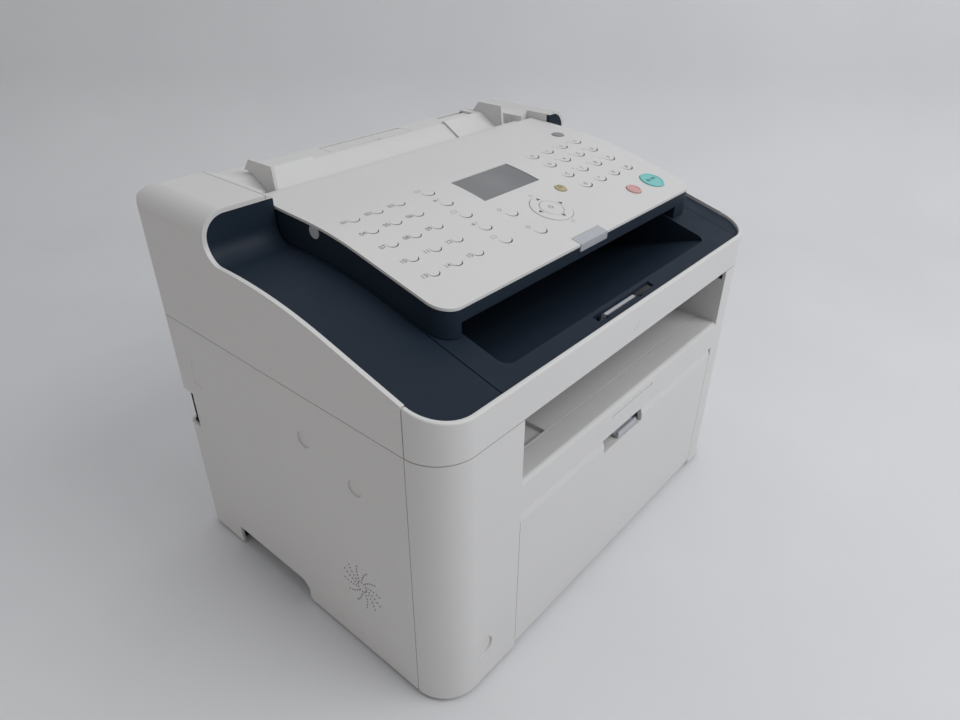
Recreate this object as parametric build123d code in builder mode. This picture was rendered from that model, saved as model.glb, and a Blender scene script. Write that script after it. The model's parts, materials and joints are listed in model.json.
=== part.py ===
from build123d import *
import math
import os

os.makedirs("parts", exist_ok=True)

# Compact laser fax machine, in millimetres.
# +X is the machine's right, +Y its back, +Z up. The origin is on the ground, under the body's centre.

# ---------------------------------------------------------------- driving dimensions
BODY_W = 372.0
BODY_D = 276.0
TOP_Z = 295.0
FOOT_H = 3.2
WALL = 2.5
UPPER_WALL = 3.0
CORNER_FRONT = 27.0
CORNER_REAR = 8.0
CORNER_TOP = 17.0
REAR_ROUND = 12.0
SEAM_GAP = 0.6
SEAM_Z = 203.2
SIDE_SEAM_Y = -110.7
CENTRE_X = 15.1

# rim of the side walls: straight rise, long arc, then a fillet up the rear block
RIM_FRONT_Z = 228.6
RIM_KNEE_Y = -51.5
RIM_KNEE_Z = 252.2
RIM_FLAT_Y = 42.0
BLOCK_Y = 55.0

# front openings
OPEN_X0 = -117.0
OPEN_X1 = 147.3
DOOR_TOP_Z = 131.0
SHELF_Z = 155.7
SHELF_SPLIT_Y = -119.6

# central lifting unit
UNIT_X0 = -132.7
UNIT_X1 = 162.9
ADF_X0 = -138.7
ADF_X1 = 168.9
TRAY_DROP = 2.5
RECESS_X0 = -115.0
RECESS_X1 = 132.0
RECESS_Y = -122.0
RECESS_TILT = 18.0
PATH_Y0 = -20.0
PATH_Y1 = 72.0
PATH_Z1 = 266.0
COVER_AXIS = (129.0, 256.0)
HINGE_R = 3.0

# operation panel: flat front slope, arc, nearly flat rear
PANEL_X0 = -132.3
PANEL_X1 = 162.5
PANEL_FRONT_Y = -91.8
PANEL_FRONT_Z = 259.6
PANEL_SLOPE = 0.245
PANEL_BEND_Y = -20.0
PANEL_FLAT_Y = 25.0
PANEL_REAR_SLOPE = 0.0594
PANEL_AXIS = (74.0, 281.0)
PANEL_REAR_R = 5.9
PANEL_CORNER = 14.0
PANEL_SKIN = 1.8
PANEL_CAVITY = 9.0
PANEL_DEPTH = 11.0

# document tray
TRAY_Z = 288.5
TRAY_SKIN = 3.0
TRAY_FLAT_Y = 114.0
GUIDE_TRAVEL = 34.0
RACK_Z = 279.5
RACK_H = 4.0
PINION_Y = 124.5
PINION_TEETH = 8

# print engine axes, as (y, z)
PICKUP_AXIS = (-8.0, 42.0)
TRANSFER_AXIS = (-5.65, 100.0)
DRUM_AXIS = (14.15, 100.0)
FUSER_AXIS = (11.3, 149.92)
PRESSURE_AXIS = (-7.0, 149.92)
GEAR_MODULE = 1.25
DRUM_TEETH = 30
FUSER_TEETH = 50
MOTOR_TEETH = 12
MOTOR_ANGLE = -50.0
FRAME_X0 = -124.0
FRAME_X1 = 152.0
FRAME_T = 2.0
RUN = 0.05

HALF_W = BODY_W / 2
HALF_D = BODY_D / 2
LOWER_TOP = SEAM_Z - SEAM_GAP

RIM_LEAN = math.atan((RIM_KNEE_Z - RIM_FRONT_Z) / (RIM_KNEE_Y + HALF_D))
RIM_R = (RIM_FLAT_Y - RIM_KNEE_Y) / math.sin(RIM_LEAN)
RIM_FLAT_Z = RIM_KNEE_Z + RIM_R * (1 - math.cos(RIM_LEAN))

PANEL_LEAN = math.atan(PANEL_SLOPE)
PANEL_REAR_LEAN = math.atan(PANEL_REAR_SLOPE)
PANEL_BEND_Z = PANEL_FRONT_Z + (PANEL_BEND_Y - PANEL_FRONT_Y) * PANEL_SLOPE
PANEL_R = (PANEL_FLAT_Y - PANEL_BEND_Y) / (math.sin(PANEL_LEAN) - math.sin(PANEL_REAR_LEAN))
PANEL_FLAT_Z = PANEL_BEND_Z + PANEL_R * (math.cos(PANEL_REAR_LEAN) - math.cos(PANEL_LEAN))


# ---------------------------------------------------------------- shared outlines
def rim_height(y):
    """Height of the side wall's rim at depth y."""
    if y <= RIM_KNEE_Y:
        return RIM_KNEE_Z + (y - RIM_KNEE_Y) * math.tan(RIM_LEAN)
    if y >= RIM_FLAT_Y:
        return RIM_FLAT_Z
    sine = math.sin(RIM_LEAN) - (y - RIM_KNEE_Y) / RIM_R
    return RIM_KNEE_Z + RIM_R * (math.sqrt(1 - sine * sine) - math.cos(RIM_LEAN))


def panel_height(y):
    """Height of the operation panel's top face at depth y."""
    if y <= PANEL_BEND_Y:
        return PANEL_BEND_Z + (y - PANEL_BEND_Y) * PANEL_SLOPE
    if y >= PANEL_FLAT_Y:
        return PANEL_FLAT_Z + (y - PANEL_FLAT_Y) * PANEL_REAR_SLOPE
    sine = math.sin(PANEL_LEAN) - (y - PANEL_BEND_Y) / PANEL_R
    return PANEL_BEND_Z + PANEL_R * (math.sqrt(1 - sine * sine) - math.cos(PANEL_LEAN))


def panel_lean(y):
    """Slope angle of the panel's top face at depth y, in degrees."""
    if y <= PANEL_BEND_Y:
        return math.degrees(PANEL_LEAN)
    if y >= PANEL_FLAT_Y:
        return math.degrees(PANEL_REAR_LEAN)
    return math.degrees(math.asin(math.sin(PANEL_LEAN) - (y - PANEL_BEND_Y) / PANEL_R))


def key_plane(x, y):
    """Plane on the panel's top face at (x, y), normal outward, local y uphill."""
    lean = math.radians(panel_lean(y))
    normal = (0, -math.sin(lean), math.cos(lean))
    return Plane(origin=(x, y, panel_height(y)), x_dir=(1, 0, 0), z_dir=normal)


def plan_outline(inset):
    """Plan of the body, drawn inset from the outer faces."""
    with BuildSketch() as outline:
        Rectangle(BODY_W - 2 * inset, BODY_D - 2 * inset)
        fillet(outline.vertices().group_by(Axis.Y)[0], CORNER_FRONT - inset)
        fillet(outline.vertices().group_by(Axis.Y)[-1], CORNER_REAR - inset)
    return outline.sketch


def wall_section(x_low, x_high, y_low, y_high):
    """Plan of the lower outer wall, kept inside one rectangle."""
    with BuildSketch() as section:
        add(plan_outline(0))
        add(plan_outline(WALL), mode=Mode.SUBTRACT)
        with Locations(((x_low + x_high) / 2, (y_low + y_high) / 2)):
            Rectangle(x_high - x_low, y_high - y_low, mode=Mode.INTERSECT)
    return section.sketch


def front_outline(inset):
    """Front view of the upper body, with round top corners, drawn inset from the outer faces."""
    with BuildSketch() as outline:
        with Locations((0, (TOP_Z - inset) / 2)):
            Rectangle(BODY_W - 2 * inset, TOP_Z - inset)
        fillet(outline.vertices().group_by(Axis.Y)[-1], CORNER_TOP - inset)
    return outline.sketch


def panel_outline(inset):
    """Plan of the operation panel with its two round front corners."""
    width = PANEL_X1 - PANEL_X0 - 2 * inset
    y_low = PANEL_FRONT_Y + inset
    y_high = PANEL_AXIS[0] + PANEL_REAR_R - inset
    with BuildSketch() as outline:
        with Locations((CENTRE_X, (y_low + y_high) / 2)):
            Rectangle(width, y_high - y_low)
        fillet(outline.vertices().group_by(Axis.Y)[0], PANEL_CORNER - inset)
    return outline.sketch


def block(x_low, x_high, y_low, y_high, z_low, z_high, mode=Mode.ADD):
    """Rectangular block between the given limits."""
    centre = ((x_low + x_high) / 2, (y_low + y_high) / 2, (z_low + z_high) / 2)
    with Locations(centre):
        Box(x_high - x_low, y_high - y_low, z_high - z_low, mode=mode)


def side_plate(points, x_low, x_high, mode=Mode.ADD):
    """Plate whose outline in Y and Z is the given polygon."""
    with BuildSketch(Plane.YZ.offset(x_low)) as section:
        with BuildLine():
            Polyline(*points, close=True)
        make_face()
    extrude(section.sketch, amount=x_high - x_low, mode=mode)


def rod(axis, radius, x_low, x_high, mode=Mode.ADD):
    """Cylinder along X at axis = (y, z)."""
    with BuildSketch(Plane.YZ.offset(x_low)) as section:
        with Locations(axis):
            Circle(radius)
    extrude(section.sketch, amount=x_high - x_low, mode=mode)


def draw_rim(y_start, drop, rise_y=None):
    """Rim line lowered by drop, from y_start to the flat, and on up the rear block's front wall."""
    knee = (RIM_KNEE_Y, RIM_KNEE_Z - drop)
    flat = (RIM_FLAT_Y, RIM_FLAT_Z - drop)
    Line((y_start, rim_height(y_start) - drop), knee)
    TangentArc(knee, flat, tangent=(math.cos(RIM_LEAN), math.sin(RIM_LEAN)))
    if rise_y is None:
        return flat
    radius = rise_y - RIM_FLAT_Y
    end = (rise_y, flat[1] + radius)
    TangentArc(flat, end, tangent=(1, 0))
    return end


def draw_panel(drop, y_start, y_end):
    """Panel top line lowered by drop, from y_start on the front slope to y_end on the rear slope."""
    bend = (PANEL_BEND_Y, PANEL_BEND_Z - drop)
    flat = (PANEL_FLAT_Y, PANEL_FLAT_Z - drop)
    start = (y_start, panel_height(y_start) - drop)
    end = (y_end, panel_height(y_end) - drop)
    Line(start, bend)
    TangentArc(bend, flat, tangent=(math.cos(PANEL_LEAN), math.sin(PANEL_LEAN)))
    Line(flat, end)
    return start, end


def panel_layer(drop_top, drop_bottom, y_start, y_end, x_low, x_high, mode=Mode.ADD):
    """Curved layer between two lines parallel to the panel's top face."""
    with BuildSketch(Plane.YZ.offset(x_low)) as section:
        with BuildLine():
            top_start, top_end = draw_panel(drop_top, y_start, y_end)
            low_start, low_end = draw_panel(drop_bottom, y_start, y_end)
            Line(top_start, low_start)
            Line(top_end, low_end)
        make_face()
    extrude(section.sketch, amount=x_high - x_low, mode=mode)


def spur_gear(teeth, module, bore, phase):
    """Outline of a straight-sided spur gear with generous backlash; a tooth points at phase degrees."""
    pitch_r = teeth * module / 2
    root_r = pitch_r - 1.25 * module
    tip_r = pitch_r + 0.9 * module
    half_root = 0.5 * module
    half_tip = 0.3 * module
    half_pitch_root = math.degrees(half_root * 1.5 / root_r)
    half_tip_angle = math.degrees(half_tip / tip_r)
    corners = []
    for tooth in range(teeth):
        middle = phase + 360 * tooth / teeth
        for radius, shift in (
            (root_r, -half_pitch_root),
            (tip_r, -half_tip_angle),
            (tip_r, half_tip_angle),
            (root_r, half_pitch_root),
        ):
            angle = math.radians(middle + shift)
            corners.append((radius * math.cos(angle), radius * math.sin(angle)))
    with BuildSketch() as outline:
        with BuildLine():
            Polyline(*corners, close=True)
        make_face()
        Circle(bore, mode=Mode.SUBTRACT)
    return outline.sketch


def meshed_phase(phase, teeth, direction, other_teeth):
    """Phase of the second gear, so that its gap faces a tooth of the first, along direction degrees."""
    index = teeth * (direction - phase) / 360
    return direction + 180 - 360 / other_teeth * (0.5 - index)


# full outer form of the upper body
with BuildPart() as upper_form:
    with BuildSketch(Plane.YZ.offset(-HALF_W)):
        with BuildLine():
            rise = draw_rim(-HALF_D, 0, BLOCK_Y)
            Line(rise, (BLOCK_Y, TOP_Z))
            Line((BLOCK_Y, TOP_Z), (HALF_D - REAR_ROUND, TOP_Z))
            TangentArc((HALF_D - REAR_ROUND, TOP_Z), (HALF_D, TOP_Z - REAR_ROUND), tangent=(1, 0))
            Polyline(
                (HALF_D, TOP_Z - REAR_ROUND),
                (HALF_D, SEAM_Z),
                (-HALF_D, SEAM_Z),
                (-HALF_D, RIM_FRONT_Z),
            )
        make_face()
    extrude(amount=BODY_W)
    with BuildSketch(Plane.XY.offset(SEAM_Z)):
        add(plan_outline(0))
    extrude(amount=TOP_Z, mode=Mode.INTERSECT)
    with BuildSketch(Plane.XZ.offset(-HALF_D)):
        add(front_outline(0))
    extrude(amount=BODY_D, mode=Mode.INTERSECT)

# space inside the upper walls
with BuildPart() as upper_space:
    with BuildSketch(Plane.XY.offset(SEAM_Z)):
        add(plan_outline(UPPER_WALL))
    extrude(amount=TOP_Z)
    with BuildSketch(Plane.XZ.offset(-HALF_D)):
        add(front_outline(UPPER_WALL))
    extrude(amount=BODY_D, mode=Mode.INTERSECT)


def save(builder, name):
    """Labels a finished sub-part and writes its STEP file."""
    builder.part.label = name
    export_step(builder.part, "parts/" + name + ".step")


# ---------------------------------------------------------------- outer covers
SIDE_HOLD = [(3.7, 0), (3.7, 14), (9.7, 20), (92.9, 20), (92.9, 0)]
SCREW_CAPS = [(-19.3, 167.7), (-65.4, 155.0)]
GRILLE = (-61.7, 66.5)
JACK_Z0 = 108.0
JACK_Z1 = 139.0
JACK_Y = 120.0

with BuildPart() as left_cover:
    with BuildSketch(Plane.XY.offset(FOOT_H)):
        add(wall_section(-HALF_W, -150, SIDE_SEAM_Y, HALF_D))
    extrude(amount=LOWER_TOP - FOOT_H)
    side_plate(SIDE_HOLD, -HALF_W - 1, -HALF_W + 5, mode=Mode.SUBTRACT)
    with BuildSketch(Plane.YZ.offset(-HALF_W)):
        with Locations(*SCREW_CAPS):
            Circle(6)
    extrude(amount=1.2, mode=Mode.SUBTRACT)
    with BuildSketch(Plane.YZ.offset(-HALF_W - 1)):
        for ring in range(6):
            with Locations(GRILLE):
                with PolarLocations(4.2 + 2.7 * ring, 12, start_angle=4 * ring):
                    Circle(0.75)
    extrude(amount=WALL + 2, mode=Mode.SUBTRACT)
    # engraved corner of the handset bracket's knock-out
    side_plate(
        [(110.8, 153.7), (108.6, 173.7), (109.3, 173.7), (111.5, 153.1), (100.8, 151.5), (100.7, 152.2)],
        -HALF_W - 1,
        -HALF_W + 0.5,
        mode=Mode.SUBTRACT,
    )
    # jack bay through the rear corner
    block(-HALF_W - 1, -164, JACK_Y, HALF_D + 1, JACK_Z0, JACK_Z1, mode=Mode.SUBTRACT)
save(left_cover, "left_cover")

with BuildPart() as right_cover:
    with BuildSketch(Plane.XY.offset(FOOT_H)):
        add(wall_section(150, HALF_W, SIDE_SEAM_Y, HALF_D))
    extrude(amount=LOWER_TOP - FOOT_H)
    side_plate(SIDE_HOLD, HALF_W - 5, HALF_W + 1, mode=Mode.SUBTRACT)
    with BuildSketch(Plane.YZ.offset(HALF_W - WALL - 1)):
        with Locations((30, 100)):
            with GridLocations(8, 48, 12, 2):
                SlotOverall(38, 3.2, rotation=90)
    extrude(amount=WALL + 2, mode=Mode.SUBTRACT)
save(right_cover, "right_cover")

REAR_SPLIT = 150.0
INLET = (112.0, 140.0, 24.0, 46.0)
SWITCH_AXIS = (129.5, 35.0)
SWITCH_X0 = 84.0
SWITCH_X1 = 104.0
SCREW_SPOTS = [(-138, 14), (-138, 190), (138, 14), (138, 190)]
REAR_TOP_Z = 249.8

with BuildPart() as rear_cover:
    with BuildSketch(Plane.XY.offset(FOOT_H)):
        add(wall_section(-REAR_SPLIT + SEAM_GAP, REAR_SPLIT - SEAM_GAP, 100, HALF_D))
    extrude(amount=SEAM_Z - FOOT_H)
    block(ADF_X0, ADF_X1, HALF_D - WALL, HALF_D, SEAM_Z, REAR_TOP_Z)
    block(-HALF_W, HALF_W, HALF_D - 0.8, HALF_D, LOWER_TOP, SEAM_Z, mode=Mode.SUBTRACT)
    block(INLET[0], INLET[1], 130, HALF_D + 1, INLET[2], INLET[3], mode=Mode.SUBTRACT)
    block(SWITCH_X0 - 0.5, SWITCH_X1 + 0.5, 130, HALF_D + 1, 27.4, 42.6, mode=Mode.SUBTRACT)
    # lugs of the rocker switch
    for lug_x in (SWITCH_X0 - 3.5, SWITCH_X1 + 0.4):
        block(lug_x, lug_x + 3.1, 126, HALF_D - WALL, 31, 39)
    rod(SWITCH_AXIS, 1.5 + RUN, SWITCH_X0 - 3.5, SWITCH_X1 + 3.5, mode=Mode.SUBTRACT)
    with BuildSketch(Plane.XZ.offset(-HALF_D - 1)):
        with Locations((-40, 120)):
            with GridLocations(9, 50, 13, 2):
                SlotOverall(40, 3.4, rotation=90)
    extrude(amount=WALL + 2, mode=Mode.SUBTRACT)
    with BuildSketch(Plane.XZ.offset(-HALF_D - 1)):
        with Locations(*SCREW_SPOTS):
            Circle(3.8)
    extrude(amount=2.3, mode=Mode.SUBTRACT)
    with BuildSketch(Plane.XZ.offset(-HALF_D - 1)):
        with Locations(*SCREW_SPOTS):
            Circle(1.6)
    extrude(amount=WALL + 2, mode=Mode.SUBTRACT)
save(rear_cover, "rear_cover")

with BuildPart() as case_screws:
    with BuildSketch(Plane.XZ.offset(-HALF_D + 0.1)):
        with Locations(*SCREW_SPOTS):
            Circle(3.5)
    extrude(amount=1.1)
    with BuildSketch(Plane.XZ.offset(-HALF_D + 1.2)):
        with Locations(*SCREW_SPOTS):
            Circle(1.6)
    extrude(amount=9)
    # cross recesses
    for spot_x, spot_z in SCREW_SPOTS:
        block(spot_x - 2, spot_x + 2, 137.3, 139, spot_z - 0.4, spot_z + 0.4, mode=Mode.SUBTRACT)
        block(spot_x - 0.4, spot_x + 0.4, 137.3, 139, spot_z - 2, spot_z + 2, mode=Mode.SUBTRACT)
save(case_screws, "case_screws")

DOOR_AXIS = (-133.0, 8.0)
DOOR_PIN_R = 2.0
NOTCH = (-20.0, 32.6)
NOTCH_Z = 118.5
LATCH_PIVOT = (-131.8, 128.6)
LATCH_X0 = 1.0
LATCH_X1 = 26.0
STOP_X0 = -13.0
STOP_X1 = 41.5
STOP_Z0 = 147.2
STOP_T = 1.3
DIMPLE = (-150.0, 36.0)
LIP_R = 3.4

with BuildPart() as front_cover:
    with BuildSketch(Plane.XY.offset(FOOT_H)):
        add(wall_section(-HALF_W, HALF_W, -HALF_D, SIDE_SEAM_Y - SEAM_GAP))
    extrude(amount=LOWER_TOP - FOOT_H)
    block(OPEN_X0, OPEN_X1, -HALF_D - 1, -130, 0, DOOR_TOP_Z + 0.5, mode=Mode.SUBTRACT)
    block(OPEN_X0, OPEN_X1, -HALF_D - 1, -130, SHELF_Z - LIP_R, SEAM_Z, mode=Mode.SUBTRACT)
    # rounded lip of the paper output shelf, one piece with the crossbar
    with BuildSketch(Plane.YZ.offset(OPEN_X0)):
        with BuildLine():
            TangentArc((-HALF_D, SHELF_Z - LIP_R), (-HALF_D + LIP_R, SHELF_Z), tangent=(0, 1))
            Polyline(
                (-HALF_D + LIP_R, SHELF_Z),
                (SHELF_SPLIT_Y, SHELF_Z),
                (SHELF_SPLIT_Y, SHELF_Z - LIP_R),
                (-HALF_D, SHELF_Z - LIP_R),
            )
        make_face()
    extrude(amount=OPEN_X1 - OPEN_X0)
    # lower edge of the crossbar turned inwards above the door
    block(OPEN_X0, OPEN_X1, -HALF_D + WALL, -126, DOOR_TOP_Z + 0.5, DOOR_TOP_Z + 2.5)
    # slot for the pull-out paper stop
    block(
        STOP_X0 - 0.35, STOP_X1 + 0.35, -HALF_D - 1, -130,
        STOP_Z0 - 0.35, STOP_Z0 + STOP_T + 0.35, mode=Mode.SUBTRACT,
    )
    # lugs of the door's latch, under the crossbar
    for lug_x in (LATCH_X0 - 3.4, LATCH_X1 + 0.4):
        block(lug_x, lug_x + 3, LATCH_PIVOT[0] - 2.2, LATCH_PIVOT[0] + 2.2, 126.4, DOOR_TOP_Z + 0.5)
    rod(LATCH_PIVOT, 1.2 + RUN, LATCH_X0 - 3.4, LATCH_X1 + 3.4, mode=Mode.SUBTRACT)
    # bearings of the door, inside both jambs
    for boss_low, boss_high in ((OPEN_X0 - 4, OPEN_X0), (OPEN_X1, OPEN_X1 + 4)):
        block(boss_low, boss_high, -HALF_D + WALL, -127, FOOT_H, 14)
        rod(DOOR_AXIS, DOOR_PIN_R + RUN, boss_low - 1, boss_high + 1, mode=Mode.SUBTRACT)
    with BuildSketch(Plane.XZ.offset(HALF_D)):
        with Locations(DIMPLE):
            Circle(7.5)
    extrude(amount=-1.2, mode=Mode.SUBTRACT)
save(front_cover, "front_cover")

with BuildPart() as front_band:
    add(upper_form.part)
    add(upper_space.part, mode=Mode.SUBTRACT)
    block(-HALF_W, HALF_W, -HALF_D, SIDE_SEAM_Y - SEAM_GAP, SEAM_Z, TOP_Z, mode=Mode.INTERSECT)
save(front_band, "front_band")

with BuildPart() as upper_left_cover:
    add(upper_form.part)
    add(upper_space.part, mode=Mode.SUBTRACT)
    block(-HALF_W, ADF_X0 - 0.4, SIDE_SEAM_Y, HALF_D, SEAM_Z, TOP_Z, mode=Mode.INTERSECT)
save(upper_left_cover, "upper_left_cover")

with BuildPart() as upper_right_cover:
    add(upper_form.part)
    add(upper_space.part, mode=Mode.SUBTRACT)
    block(ADF_X1 + 0.4, HALF_W, SIDE_SEAM_Y, HALF_D, SEAM_Z, TOP_Z, mode=Mode.INTERSECT)
save(upper_right_cover, "upper_right_cover")


# ---------------------------------------------------------------- recessed top
def tray_sheet(x_low, x_high):
    """Sunk top skin between two X limits, from the front rim to the top of the rear block's wall."""
    wall_y = BLOCK_Y + 0.5
    with BuildSketch(Plane.YZ.offset(x_low)) as section:
        with BuildLine():
            front_y = -HALF_D + UPPER_WALL + 0.4
            upper_end = draw_rim(front_y, TRAY_DROP, wall_y)
            lower_end = draw_rim(front_y, 2 * TRAY_DROP, wall_y + TRAY_DROP)
            top = TOP_Z - UPPER_WALL - 0.6
            Polyline(upper_end, (wall_y, top), (wall_y + TRAY_DROP, top), lower_end)
            Line(
                (front_y, rim_height(front_y) - TRAY_DROP),
                (front_y, rim_height(front_y) - 2 * TRAY_DROP),
            )
        make_face()
    extrude(section.sketch, amount=x_high - x_low)
    # round front corners and top corners, just inside the covers
    with BuildSketch(Plane.XY.offset(SEAM_Z)) as plan:
        add(plan_outline(UPPER_WALL + 0.4))
    extrude(plan.sketch, amount=TOP_Z, mode=Mode.INTERSECT)
    with BuildSketch(Plane.XZ.offset(-HALF_D)) as front:
        add(front_outline(UPPER_WALL + 0.4))
    extrude(front.sketch, amount=BODY_D, mode=Mode.INTERSECT)


with BuildPart() as tray_left:
    tray_sheet(-HALF_W, UNIT_X0 - SEAM_GAP)
save(tray_left, "tray_left")

with BuildPart() as tray_right:
    tray_sheet(UNIT_X1 + SEAM_GAP, HALF_W)
save(tray_right, "tray_right")

RECESS_FLOOR_Z0 = rim_height(RECESS_Y) - TRAY_DROP
RECESS_FLOOR_Z1 = RECESS_FLOOR_Z0 - (PATH_Y0 - RECESS_Y - 2) * math.tan(math.radians(RECESS_TILT))
PATH_Z0 = 238.0
PATH_LEAN = math.atan((PATH_Z1 - PATH_Z0) / (PATH_Y1 - PATH_Y0))
SLOT = (-33.0, 37.0, -129.9, -124.9)
LATCH_AXIS = (-127.0, 219.0)
FEED_Y = 58.0
FEED_R = 10.0
EJECT_Y = -8.0
EJECT_R = 8.0
SENSOR_Y0 = 18.0
SENSOR_Y1 = 36.0
SENSOR_X0 = -95.0
SENSOR_X1 = 125.0


def path_height(y):
    """Height of the document path's lower guide at depth y."""
    return PATH_Z0 + (y - PATH_Y0) * math.tan(PATH_LEAN)


def roller_axis(y, radius):
    """Axis of a roller that stands 0.6 proud of the document path."""
    return (y, path_height(y) - (radius - 0.6) / math.cos(PATH_LEAN))


FEED_AXIS = roller_axis(FEED_Y, FEED_R)
EJECT_AXIS = roller_axis(EJECT_Y, EJECT_R)
EJECT_TYRES = [-75.0, -15.0, 45.0, 105.0]
TYRE_W = 14.0

with BuildPart() as tray_cover:
    # sunk skin; its front lower edge leans back to swing clear of the rim
    with BuildSketch(Plane.YZ.offset(UNIT_X0)):
        with BuildLine():
            front_y = -HALF_D + UPPER_WALL + 0.7
            upper_flat = draw_rim(front_y, TRAY_DROP)
            lower_flat = draw_rim(front_y + 1.4, 2 * TRAY_DROP)
            Line(
                (front_y, rim_height(front_y) - TRAY_DROP),
                (front_y + 1.4, rim_height(front_y + 1.4) - 2 * TRAY_DROP),
            )
            Polyline(upper_flat, (60, upper_flat[1]), (60, lower_flat[1]), lower_flat)
        make_face()
    extrude(amount=UNIT_X1 - UNIT_X0)
    # document output recess with round front corners
    with BuildSketch(Plane.XY.offset(200)) as recess:
        with Locations(((RECESS_X0 + RECESS_X1) / 2, (RECESS_Y + 61) / 2)):
            Rectangle(RECESS_X1 - RECESS_X0, 61 - RECESS_Y)
        fillet(recess.vertices().group_by(Axis.Y)[0], 8)
    extrude(amount=80, mode=Mode.SUBTRACT)
    # recess floor, its rear wall and the document path's lower guide
    side_plate(
        [
            (RECESS_Y - 3, rim_height(RECESS_Y - 3) - TRAY_DROP - 1),
            (RECESS_Y, RECESS_FLOOR_Z0 - 0.5),
            (PATH_Y0 - 2, RECESS_FLOOR_Z1),
            (PATH_Y0, RECESS_FLOOR_Z1 + 2),
            (PATH_Y0, PATH_Z0),
            (PATH_Y1, PATH_Z1),
            (PATH_Y1, PATH_Z1 - 2.6),
            (PATH_Y0 + 2.5, PATH_Z0 - 1.8),
            (PATH_Y0 + 2.5, RECESS_FLOOR_Z1 + 1),
            (PATH_Y0 - 1, RECESS_FLOOR_Z1 - 2.6),
            (RECESS_Y, RECESS_FLOOR_Z0 - 2.6),
            (RECESS_Y - 3, RECESS_FLOOR_Z0 - 3.4),
        ],
        RECESS_X0 - 2.5,
        RECESS_X1 + 2.5,
    )
    for wall_x in (RECESS_X0 - 2.5, RECESS_X1):
        side_plate(
            [
                (RECESS_Y, RECESS_FLOOR_Z0 - 2.6),
                (PATH_Y0 - 1, RECESS_FLOOR_Z1 - 2.6),
                (PATH_Y0 + 2.5, RECESS_FLOOR_Z1 + 1),
                (PATH_Y0 + 2.5, PATH_Z0 - 1.8),
                (60, path_height(60) - 2.6),
                (60, RIM_FLAT_Z - TRAY_DROP),
                (RIM_FLAT_Y, RIM_FLAT_Z - TRAY_DROP),
                (PATH_Y0, rim_height(PATH_Y0) - TRAY_DROP - 1),
                (RIM_KNEE_Y, RIM_KNEE_Z - TRAY_DROP),
                (RECESS_Y, RECESS_FLOOR_Z0),
            ],
            wall_x,
            wall_x + 2.5,
        )
    # windows for the rollers and the scanning sensor
    block(CENTRE_X - 16, CENTRE_X + 16, FEED_Y - 9.8, FEED_Y + 9.8, 255, 268, mode=Mode.SUBTRACT)
    for tyre_x in EJECT_TYRES:
        block(
            tyre_x - TYRE_W / 2 - 1, tyre_x + TYRE_W / 2 + 1,
            EJECT_Y - 8.2, EJECT_Y + 8.2, 235, 246, mode=Mode.SUBTRACT,
        )
    block(
        SENSOR_X0 - 0.5, SENSOR_X1 + 0.5, SENSOR_Y0 - 0.5, SENSOR_Y1 + 0.5,
        245, 258, mode=Mode.SUBTRACT,
    )
    # finger slot with the lugs of the latch
    for lug_x in (-24.5, 16.5):
        block(lug_x, lug_x + 3, -131.2, RECESS_Y - 0.6, 215.5, rim_height(-124) - TRAY_DROP - 1)
    block(SLOT[0], SLOT[1], SLOT[2], SLOT[3], 220.5, 240, mode=Mode.SUBTRACT)
    rod(LATCH_AXIS, 1.5 + RUN, -30, 30, mode=Mode.SUBTRACT)
save(tray_cover, "tray_cover")

with BuildPart() as grip_latch:
    block(-20.5, 15.5, -128.0, -126.0, 217, 227.6)
    block(-20.5, 15.5, -128.2, -125.6, 225.6, 227.6)
    rod(LATCH_AXIS, 2.6, -21, 16)
    rod(LATCH_AXIS, 1.5, -24.3, 19.3)
save(grip_latch, "grip_latch")


# ---------------------------------------------------------------- document feeder
LIP_Y0 = PANEL_AXIS[0] + PANEL_REAR_R + SEAM_GAP
ARM_X0 = PANEL_X0 - 0.6
ARM_X1 = PANEL_X1 + 0.6
CHEEK_W = 14.7
GUIDE_X0 = -109.0
GUIDE_T = 9.5
FIN_T = 2.4
GUIDE_X1 = 2 * CENTRE_X - GUIDE_X0
RACK_BAR_W = 3.7
PANEL_PIN_R = 2.5
FLAP_X0 = -35.7
FLAP_X1 = 50.3
FLAP_Y0 = 118.3
FLAP_Y1 = 133.5
FLAP_AXIS = (131.5, 287.0)
FLAP_T = 2.7

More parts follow.
